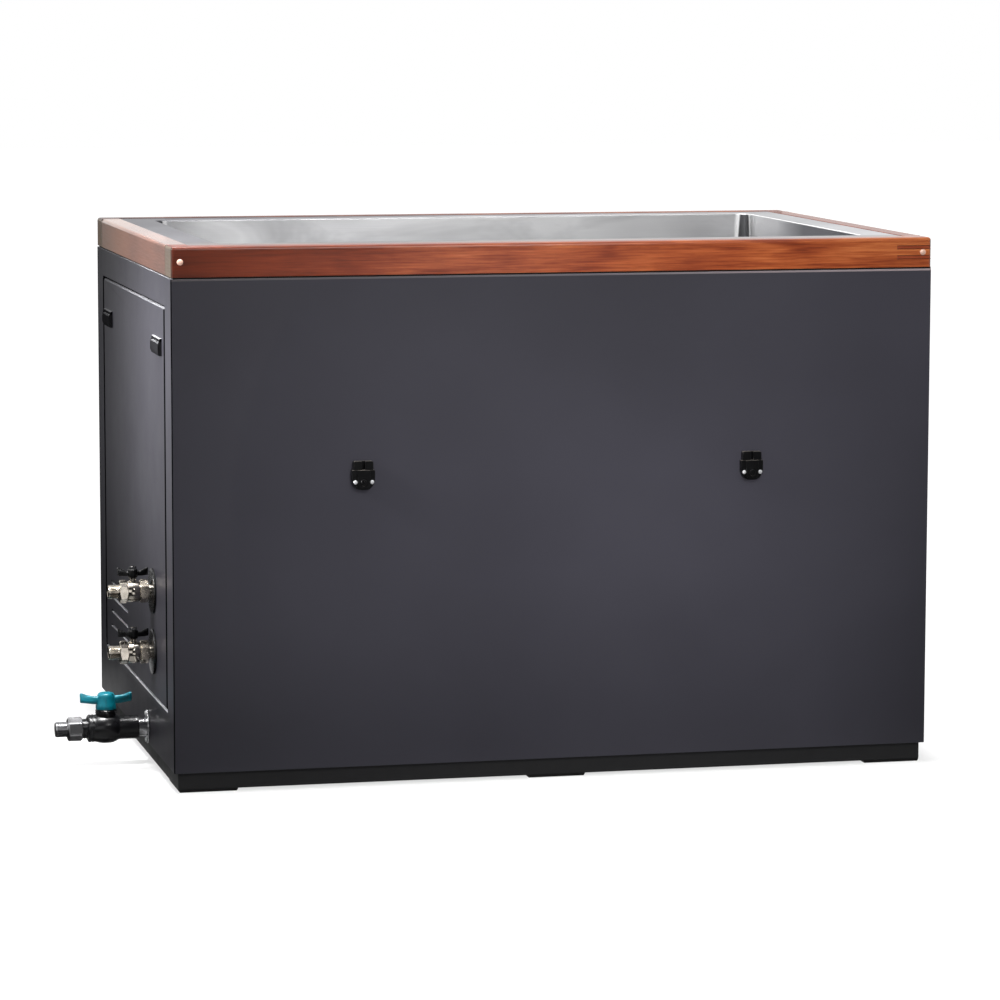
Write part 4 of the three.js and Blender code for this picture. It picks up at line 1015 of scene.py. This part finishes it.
VALVE_STEM = 40
VALVE_HEX = 40
HOSE_PITCH = 2.3
VALVE_BARREL = (
    (18.6, 28), (20, 28.7), (20.6, 30), (21.3, 35), (21.5, 40), (21.3, 45), (20.6, 50), (19.8, 51.2),
)
VALVE_BORE = (
    (12.2, 88.9), (11.6, 89), (9.4, 89), (8.7, 88.4), (8.7, 53.4),
    (13.8, 53.4), (13.8, 29), (16.4, 29), (16.4, 28),
)
VALVE_BONNET = (
    (4.4, 14.2), (8.4, 14.2), (8.4, 20.6), (7.2, 21.6), (6.4, 22), (6.4, 25.8), (5.6, 27), (4.4, 27),
)
VALVE_HUB = (
    (4.4, 27.4), (8.6, 27.4), (9.4, 28.2), (9.8, 32), (10, 41), (9.6, 43), (8.6, 44), (4.4, 44),
)
VALVE_WING = (
    (3, 35, 8, 10, 0),
    (10, 35, 6.4, 9, 0),
    (15, 35.6, 5.4, 10.5, 6),
    (21, 37.2, 4.8, 14, 12),
    (27, 38.8, 4.4, 16, 15),
    (29.4, 39.2, 4.0, 16, 15),
    (30, 39.2, 3.0, 14.5, 15),
)


def wing(place, way, sections, steps):
    """A handle wing lofted along X through (along, level, thickness, height, twist) sections."""

    def fuller(value):
        return math.copysign(abs(value) ** (2 / 3), value)

    x, y, z = place
    rings = []
    for along, level, thick, high, twist in sections:
        lean = math.radians(twist) * way
        ring = []
        for turn in turns(steps):
            u = fuller(math.cos(turn)) * thick / 2
            v = fuller(math.sin(turn)) * high / 2
            across = u * math.cos(lean) - v * math.sin(lean)
            rise = u * math.sin(lean) + v * math.cos(lean)
            ring.append((x + way * along, y + across, z + level + rise))
        rings.append(ring)
    return loft(rings)


def winged(hub, place, sections, steps):
    """A handle from its hub and two wings that mirror each other."""
    return shape(hub, wing(place, -1, sections, steps), wing(place, 1, sections, steps))


def make_valve(label, z):
    place = (FACE_X, VALVE_Y, z)
    stem_place = (FACE_X - VALVE_STEM, VALVE_Y, z)
    turning = f"{label}_valve_turn"

    nipple = [(9, -38.5), (13, -38.5), (13, 21.8), (9, 21.8)]
    pipe = shape(turned(nipple, "left", place, closed=True))
    piece(f"{label}_pipe", pipe, NICKEL, "nickel_brass", nodes=[f"{label}_nipple"])

    # A black rubber washer behind the cover; its black edge also stands in for the shade under the
    # cover's rim.
    washer = [(13.4, 0.1), (43.6, 0.1), (44, 0.6), (44, 3.4), (13.4, 3.4)]
    seal = shape(turned(washer, "left", place, 72, closed=True))
    piece(f"{label}_seal", seal, RUBBER, "foot_rubber")
    disc = [(13.4, 3.4), (43.8, 3.4), (44, 3.7), (43.4, 4.4), (41, 5), (20, 5.4), (17, 6), (13.4, 6)]
    cover = shape(turned(disc, "left", place, 72, closed=True))
    piece(f"{label}_cover", cover, DARK_CHROME, "stainless_fitting", nodes=[f"{label}_rosette"])

    inside = [(16, 27.1), (16, 28.6), (8.6, 28.6), (8.6, 22), (13.3, 22), (13.3, 10.2)]
    profile = [*hex_bar(VALVE_HEX, 10.2, 27, turn=30), *inside]
    connector = shape(turned(profile, "left", place, 72, closed=True))
    stand_in(f"{label}_valve_connector", "hex", connector, SATIN_NICKEL, "nickel_brass", angle=28)

    nut_end = [*hex_bar(VALVE_HEX, 51.2, 67, turn=30), (12.9, 67.2)]
    hose_end = screw_thread(14, 67.5, 88, HOSE_PITCH, 1.1)
    body = shape(
        turned([*VALVE_BARREL, *nut_end, *hose_end, *VALVE_BORE], "left", place, 72, closed=True),
        turned(VALVE_BONNET, "up", stem_place, closed=True),
    )
    stand_in(f"{label}_valve_body", "cast", body, NICKEL, "nickel_brass", angle=28)

    hub = turned(VALVE_HUB, "up", stem_place, 40, closed=True)
    handle = winged(hub, stem_place, VALVE_WING, 20)
    stand_in(f"{label}_valve_handle", "grip", handle, BLACK, "black_plastic", turning, angle=50)

    tip = [(0, 48), (3.4, 48), (3.4, 49.5), (3, 49.8), (0, 49.8)]
    nut = shape(
        turned(hex_bar(13, 44.05, 49, 0.9), "up", stem_place),
        turned(tip, "up", stem_place, 24),
    )
    stand_in(f"{label}_handle_nut", "hex", nut, DARK_CHROME, "nickel_brass", turning, angle=28)


for label, level in VALVE_LEVELS.items():
    make_valve(label, level)


# Drain: pipe, flange, plastic ball valve and hexagon adaptor

DRAIN_STEM = 84
SUMP_X = -560
SUMP_Z = 150
BEND_RADIUS = 32
PIPE_RADIUS = 19
PIPE_BORE = 16
PIPE_END = 44.8
FLANGE_PLAY = 0.3
FLANGE_THICK = 4
FLANGE_SCREW = 26.5
FLANGE_MIDDLE = 25
FLANGE_LOBE = 7.5
DRAIN_HEX = 42
DRAIN_BODY = (
    (19.4, 21), (22.6, 21), (23.6, 21.8), (23.6, 27), (23.1, 27.8), (23.1, 58), (24.2, 61.5),
    (26.8, 66), (28.8, 71), (29.8, 77), (30, 84), (29.8, 91), (28.8, 98), (27.4, 104),
    (26.4, 107), *band(109, 113, 26.2, 27.4), (26.2, 115), (27.4, 115.6), (27.4, 118.4),
    (26.6, 119.4), (24.6, 121),
    (20.8, 121), (20.8, 63.8), (15, 63.8), (15, 44.9), (19.4, 44.9),
)
DRAIN_NECK = (
    (6.6, 21.2), (20.2, 21.2), *band(29.4, 32.2, 20.2, 21), *band(33.4, 36.2, 20.2, 21),
    (20.2, 37.2), (19.4, 38), (6.6, 38),
)
DRAIN_COLLAR = (
    (13, 106), (20.2, 106), (20.2, 121), (19, 121.2), *band(122, 124.8, 19, 19.7),
    *band(126, 128.8, 19, 19.7), (19, 130), (19.6, 130.6), (19.6, 132), (16.4, 132),
    (16.4, 143.8), (13, 143.8),
)
DRAIN_MOUTH = (
    (13.6, 184.9), (13, 185), (11.6, 185), (11, 184.4), (11, 144.4), (16.8, 144.4), (16.8, 132.1),
)
DRAIN_HUB = (
    (6.4, 38.4), (19.4, 38.4), (20.2, 39.2), (20.2, 45), (19.4, 47), (17.8, 56), (17.2, 63),
    (16.4, 66.8), (14.4, 69.4), (11.4, 70.6), (0, 71), (0, 60.2), (6.4, 60),
)
DRAIN_WING = (
    (6, 56, 16, 17, 0),
    (17, 56, 13, 16.5, 2),
    (28, 56.6, 11, 16, 8),
    (38, 58.6, 10, 17, 14),
    (46, 60.6, 9.4, 19, 18),
    (50, 61.2, 9, 19.5, 18),
    (51, 61.2, 7.4, 17.5, 18),
)
FLANGE_SCREW_HEAD = (
    (0, -4.5), (2, -4.5), (2, 3.9), (4.7, 4.05), (4.9, 4.6),
    (4.5, 5.8), (3.4, 6.7), (1.8, 7.1), (0, 7.1),
)


def sweep(path, radius, steps=40):
    """Rings of a pipe along points that lie in one XZ plane."""
    across = Vector((0, 1, 0))
    rings = []
    for i, point in enumerate(path):
        before = Vector(path[max(i - 1, 0)])
        after = Vector(path[min(i + 1, len(path) - 1)])
        other = (after - before).normalized().cross(across)
        sides = [across * math.cos(turn) + other * math.sin(turn) for turn in turns(steps)]
        rings.append([tuple(Vector(point) + radius * side) for side in sides])
    return rings


def make_drain_pipe():
    path = [(SUMP_X, DRAIN_Y, SUMP_Z)]
    for turn in quarter(8):
        x = SUMP_X - BEND_RADIUS * (1 - math.cos(turn))
        z = DRAIN_Z + BEND_RADIUS * (1 - math.sin(turn))
        path.append((x, DRAIN_Y, z))
    path.append((FACE_X - PIPE_END, DRAIN_Y, DRAIN_Z))
    pipe = loft(sweep(path, PIPE_RADIUS) + sweep(path, PIPE_BORE)[::-1], closed=True)
    piece("drain_stub", shape(pipe), FITTING_STEEL, "stainless_fitting", nodes=["drain_pipe"])


def make_drain_flange(place):
    """A plate with a lobe above and below the pipe, each with a slotted screw."""
    steps = 12
    lean = math.asin((FLANGE_MIDDLE - FLANGE_LOBE) / FLANGE_SCREW)
    arcs = (
        (0, FLANGE_MIDDLE, -lean, lean),
        (FLANGE_SCREW, FLANGE_LOBE, lean, math.pi - lean),
        (0, FLANGE_MIDDLE, math.pi - lean, math.pi + lean),
        (-FLANGE_SCREW, FLANGE_LOBE, math.pi + lean, 2 * math.pi - lean),
    )
    outline = []
    for centre, radius, first, last in arcs:
        for i in range(steps + 1):
            angle = first + (last - first) * i / steps
            outline.append((radius * math.cos(angle), centre + radius * math.sin(angle)))
    bore = shape(turned(rod(PIPE_RADIUS + FLANGE_PLAY, -3, 8), "left", place))
    plate = carved(shape(prism(outline, "left", place, FACE_GAP, FLANGE_THICK)), bore)
    edges = {"bevel": 1.0, "segments": 3, "angle": 40}
    piece("drain_plate", plate, FITTING_STEEL, "stainless_fitting", nodes=["drain_flange"], **edges)

    for level, way in (("upper", 1), ("lower", -1)):
        z = DRAIN_Z + way * FLANGE_SCREW
        slot = shape(block(FACE_X - 20, FACE_X - 6.2, DRAIN_Y - 3, DRAIN_Y + 3, z - 0.5, z + 0.5))
        head = shape(turned(FLANGE_SCREW_HEAD, "left", (FACE_X, DRAIN_Y, z), 28))
        stand_in(f"drain_screw_{level}", "head", carved(head, slot), ZINC, "zinc_screw")


def make_drain_valve(place):
    stem_place = (FACE_X - DRAIN_STEM, DRAIN_Y, DRAIN_Z)
    cast = shape(
        turned(DRAIN_BODY, "left", place, 64, closed=True),
        turned(DRAIN_NECK, "up", stem_place, 56, closed=True),
    )
    piece("drain_valve_shell", cast, PVC, "black_pvc", nodes=["drain_valve_body"], angle=32)

    ring = shape(turned(DRAIN_COLLAR, "left", place, 56, closed=True))
    piece("drain_collar_ring", ring, PVC, "black_pvc", nodes=["drain_valve_collar"], angle=32)

    nut_end = [*hex_bar(DRAIN_HEX, 132.1, 160.6, 2.8, 24), (14.2, 161)]
    hose_end = screw_thread(15.5, 161.6, 184, HOSE_PITCH, 1.2)
    profile = [*nut_end, *hose_end, *DRAIN_MOUTH]
    adaptor = shape(turned(profile, "left", place, 72, closed=True))
    nodes = ["drain_outlet_adaptor"]
    piece("drain_outlet_hex", adaptor, FITTING_STEEL, "stainless_fitting", nodes=nodes, angle=28)

    hub = turned(DRAIN_HUB, "up", stem_place, 56)
    handle = winged(hub, stem_place, DRAIN_WING, 28)
    nodes = ["drain_valve_handle"]
    piece("drain_handle_grip", handle, TEAL, "teal_plastic", "drain_valve_turn", nodes, angle=50)


drain_place = (FACE_X, DRAIN_Y, DRAIN_Z)
make_drain_pipe()
make_drain_flange(drain_place)
make_drain_valve(drain_place)


# Cover locks: clip receivers with a slot, a key cylinder and two screws each

LOCK_CHIN = ((-13, 4), (13, 4), (22, 18), (22, 42), (-22, 42), (-22, 18))
LOCK_BOSS = ((-11, 7), (11, 7), (12.5, 42), (-12.5, 42))
LOCK_HEAD = ((-19, 39), (19, 39), (19, 59), (-19, 59))
LOCK_ROW = 18
LOCK_PLUG = ((0, 4.1), (6, 4.1), (6, 16.4), (5.4, 17), (0, 17))
LOCK_SCREW = 16.2
LOCK_SCREW_ROW = LOCK_ROW + 1
LOCK_SCREW_HEAD = (
    (0, 8), (2, 8), (2, 12.3), (4, 12.5), (4.1, 13.1), (3.6, 14.3), (2.4, 15.1), (0, 15.4),
)

# Cuts: half width, the two depths before the panel face, bottom and top
LOCK_STRAP = (14, 9, 3, 40, 64)
LOCK_NOTCH = (3.2, 20, 6, 43, 64)
LOCK_KEY = (0.8, 20, 14, LOCK_ROW - 4, LOCK_ROW + 4)
LOCK_CROSS = (
    (0.45, 17, 14.2, LOCK_SCREW_ROW - 2.2, LOCK_SCREW_ROW + 2.2),
    (2.2, 17, 14.2, LOCK_SCREW_ROW - 0.45, LOCK_SCREW_ROW + 0.45),
)


def lock_cut(x, half, far, close, low, high):
    """A block to be cut from a receiver, its cylinder or its screws."""
    z = LOCK_BOTTOM
    return shape(block(x - half, x + half, FACE_Y - far, FACE_Y - close, z + low, z + high))


def make_lock(side, x):
    place = (x, FACE_Y, LOCK_BOTTOM)
    cylinder = (x, FACE_Y, LOCK_BOTTOM + LOCK_ROW)
    solids = (
        prism(rounded(LOCK_CHIN, [9, 9, 9, 2, 2, 9]), "front", place, FACE_GAP, 12.5),
        prism(rounded(LOCK_BOSS, [6, 6, 1.5, 1.5]), "front", place, 10, 16),
        prism(rounded(LOCK_HEAD, [1, 1, 4, 4]), "front", place, FACE_GAP, 12),
    )
    bore = shape(turned(rod(6.4, 3.7, 20), "front", cylinder, 40))
    cuts = (lock_cut(x, *LOCK_STRAP), lock_cut(x, *LOCK_NOTCH), bore)
    whole = bmesh.new()
    for solid in solids:
        whole.from_mesh(carved(shape(solid), *cuts))
    mesh = bpy.data.meshes.new("lock")
    whole.to_mesh(mesh)
    whole.free()
    edges = {"bevel": 0.7, "segments": 2, "angle": 30}
    stand_in(f"cover_lock_{side}", "body", mesh, LOCK_BLACK, "black_plastic", **edges)

    name = f"lock_cylinder_{side}"
    barrel = shape(turned(LOCK_PLUG, "front", cylinder, 40))
    plug = carved(barrel, lock_cut(x, *LOCK_KEY))
    stand_in(name, "plug", plug, BLACK, "black_plastic", name, angle=40)

    for number, way in enumerate((-1, 1), 1):
        screw = (x + LOCK_SCREW * way, FACE_Y, LOCK_BOTTOM + LOCK_SCREW_ROW)
        head = shape(turned(LOCK_SCREW_HEAD, "front", screw, 28))
        cross = [lock_cut(screw[0], *cut) for cut in LOCK_CROSS]
        piece(f"lock_screw_{side}_{number}", carved(head, *cross), ZINC, "zinc_screw")


make_lock("left", -LOCK_X)
make_lock("right", LOCK_X)


# Panel latches: a raised housing over a sprung paddle, outlined from the panel face and its foot

LATCH_HALF = 48.5
CHEEK_WIDTH = 4
PADDLE_GAP = 0.6
PADDLE_TOP = 1.4
PIN_RADIUS = 1.4
PIN_REACH = 2.6
HOOK_X = (-737.7, -731.7)
HOOK_TOP = 915
HOOK_HALF = 10
HOOK_DROP = 4.6
LATCH_HOOD = ((-FACE_GAP, 33), (-5.2, 32), (-5.2, 27), (-FACE_GAP, 27))
LATCH_CHEEK = ((-FACE_GAP, 0), (-FACE_GAP, 32), (-4, 29.5), (-7.8, 22), (-7.8, 6), (-5, 0))


def make_latch(end, y):
    """A hood and two cheeks around a paddle whose front stands a little proud of the hood."""
    place = (FACE_X, y, LATCH_BOTTOM)
    inner = LATCH_HALF - CHEEK_WIDTH
    edges = {"bevel": 0.5, "segments": 2, "angle": 40}
    cheek = rounded(LATCH_CHEEK, [0.4, 0.4, 1, 5, 4, 0.6], 4)
    housing = shape(
        prism(rounded(LATCH_HOOD, [0.4, 1, 0.6, 0.4], 3), "rear", place, -LATCH_HALF, LATCH_HALF),
        prism(cheek, "rear", place, -LATCH_HALF, -inner),
        prism(cheek, "rear", place, inner, LATCH_HALF),
    )
    stand_in(f"latch_housing_{end}", "cover", housing, LATCH_BLACK, "black_plastic", **edges)

    name = f"latch_paddle_{end}"
    axis_x, axis_z = LATCH_AXIS
    reach = inner - PADDLE_GAP
    foot, top = axis_z - HOOK_DROP, axis_z + PADDLE_TOP
    rise = top - LATCH_BOTTOM
    face = [(-0.6, 0), (-0.6, rise), (-5, rise), (-7.4, rise - 2.6), (-7.4, 7), (-6, 0)]
    pin = rod(PIN_RADIUS, -reach - PIN_REACH, reach + PIN_REACH)
    lever = shape(
        prism(rounded(face, [0.3, 0.3, 0.8, 1, 3, 0.8], 4), "rear", place, -reach, reach),
        block(axis_x, HOOK_X[1], y - HOOK_HALF, y + HOOK_HALF, foot, top),
        block(*HOOK_X, y - HOOK_HALF, y + HOOK_HALF, foot, HOOK_TOP),
        turned(pin, "rear", (axis_x, y, axis_z), 16),
    )
    stand_in(name, "lever", lever, LATCH_BLACK, "black_plastic", name, **edges)


make_latch("front", -LATCH_Y)
make_latch("rear", LATCH_Y)


# Studio: camera, floor, world and lamps, in metres

WHITE = (1, 1, 1, 1)
AMBIENT = 0.28
FLOOR_HALF = 30
FLOOR_GREY = (0.3, 0.3, 0.3, 1)
SHADOW_LIFT = 0.66
SHADOW_EDGE = 0.9
SHADOW_REACH = 0.06
FADE_REACH = 1.2
CARD_LEVEL = 0.004

# Lamps: name, place, target, size, power, spread in degrees, seen in reflections
LAMPS = (
    ("top", (-0.3, 0.3, 4.0), (0, 0, 1), (3.0, 2.4), 85, 180, True),
    ("left", (-2.0, -0.55, 1.65), (-0.75, -0.38, 1.0), (0.5, 0.5), 7.5, 50, True),
    ("fittings", (-0.86, -0.32, 1.7), (-0.84, -0.2, 0.1), (0.4, 0.4), 3.6, 40, True),
    ("front", (0.15, -2.7, 1.95), (0.15, -0.5, 0.75), (1.2, 0.5), 34, 180, True),
    ("fill", (0.25, -3.0, 0.9), (0.16, -0.5, 0.56), (0.6, 0.4), 3.7, 50, False),
)

# Cards on the floor: name, left, right, front, back, tone
FLOOR_CARDS = (
    ("front_floor_card", -0.1, 6, -14, -0.6, 0.02),
    ("corner_floor_card", -4, -0.75, -14, -0.6, 0.02),
    ("near_floor_card", -0.75, -0.1, -0.95, -0.6, 0.02),
    ("under_card", -0.9, -0.75, -0.6, 0.5, 0.2),
    ("left_floor_card", -3.5, -0.9, -0.6, 3, 0.02),
)

# Upright cards: name, left, right, bottom, top, Y, tone
UPRIGHT_CARDS = (
    ("rear_card", -1.02, -0.4, 0, 0.84, 1.0, 0.02),
    ("wood_card", -1.02, -0.4, 0.84, 1.03, 1.0, 0.35),
    ("rim_card", -0.56, 0.85, 1.041, 1.082, 0.8, 0.12),
    ("front_card", -1, 3, 0, 2.8, -6, 0.02),
    ("high_card", -7, 7, 2.8, 8, -6, 0.02),
)


def set_camera():
    data = bpy.data.cameras.new("camera")
    data.lens = CAMERA_LENS
    data.sensor_width = CAMERA_SENSOR
    data.clip_end = CAMERA_FAR
    stand = Matrix.Translation(CAMERA_PLACE)
    for axis, angle in (("Z", -CAMERA_YAW), ("X", 90 - CAMERA_PITCH), ("Z", CAMERA_ROLL)):
        stand = stand @ Matrix.Rotation(math.radians(angle), 4, axis)
    camera = placed("camera", data)
    camera.matrix_world = stand
    bpy.context.scene.camera = camera


def set_world():
    world = bpy.data.worlds.new("world")
    bpy.context.scene.world = world
    nodes = Nodes(world)
    background = nodes.tree.nodes["Background"].inputs
    nodes.feed(background["Color"], WHITE)
    nodes.feed(background["Strength"], nodes.span(nodes.seen_directly(), 0, 1, AMBIENT, 1))


def flat_sheet(name, corners, material):
    mesh = bpy.data.meshes.new(name)
    mesh.from_pydata(corners, [], [(0, 1, 2, 3)])
    mesh.materials.append(material)
    return placed(name, mesh)


def make_floor():
    """A pale floor that keeps the shadow near the tub and fades to the white background."""
    fixed = {"Base_Color": FLOOR_GREY, "Roughness": 0.9, "Specular_IOR_Level": 0}
    paint = Paint("floor", Emission_Color=WHITE, **fixed)
    beside = paint.minus(paint.size(paint.axis("X")), HALF_WIDTH * MM)
    before = paint.minus(paint.size(paint.axis("Y")), HALF_DEPTH * MM)
    reach = paint.most(beside, before)
    shadow = paint.span(reach, 0, SHADOW_REACH, SHADOW_LIFT, SHADOW_EDGE)
    fade = paint.span(reach, SHADOW_REACH, FADE_REACH, 0, 1 - SHADOW_EDGE)
    paint.set("Emission Strength", paint.times(paint.plus(shadow, fade), paint.seen_directly()))
    ways = ((-1, -1), (1, -1), (1, 1), (-1, 1))
    corners = [(x * FLOOR_HALF, y * FLOOR_HALF, 0) for x, y in ways]
    flat_sheet("floor", corners, paint.material)


def make_lamp(name, place, target, size, power, spread, mirrored):
    data = bpy.data.lights.new(name, "AREA")
    data.shape = "RECTANGLE"
    data.size, data.size_y = size
    data.energy = power
    data.spread = math.radians(spread)
    lamp = placed(name, data)
    lamp.visible_glossy = mirrored
    lamp.location = place
    lamp.rotation_euler = (Vector(target) - Vector(place)).to_track_quat("-Z", "Y").to_euler()


def make_card(name, corners, tone):
    """A grey or black card that shows only in reflections."""
    paint = Paint(name, Specular_IOR_Level=0, Base_Color=(tone, tone, tone, 1))
    card = flat_sheet(name, corners, paint.material)
    card.visible_camera = False
    card.visible_diffuse = False
    card.visible_shadow = False
    card.visible_transmission = False


set_camera()
set_world()
make_floor()
for settings in LAMPS:
    make_lamp(*settings)
for name, left, right, front, back, tone in FLOOR_CARDS:
    outline = ((left, front), (right, front), (right, back), (left, back))
    make_card(name, [(x, y, CARD_LEVEL) for x, y in outline], tone)
for name, left, right, bottom, top, y, tone in UPRIGHT_CARDS:
    outline = ((left, bottom), (right, bottom), (right, top), (left, top))
    make_card(name, [(x, y, z) for x, z in outline], tone)

bpy.context.scene.view_settings.view_transform = "Standard"
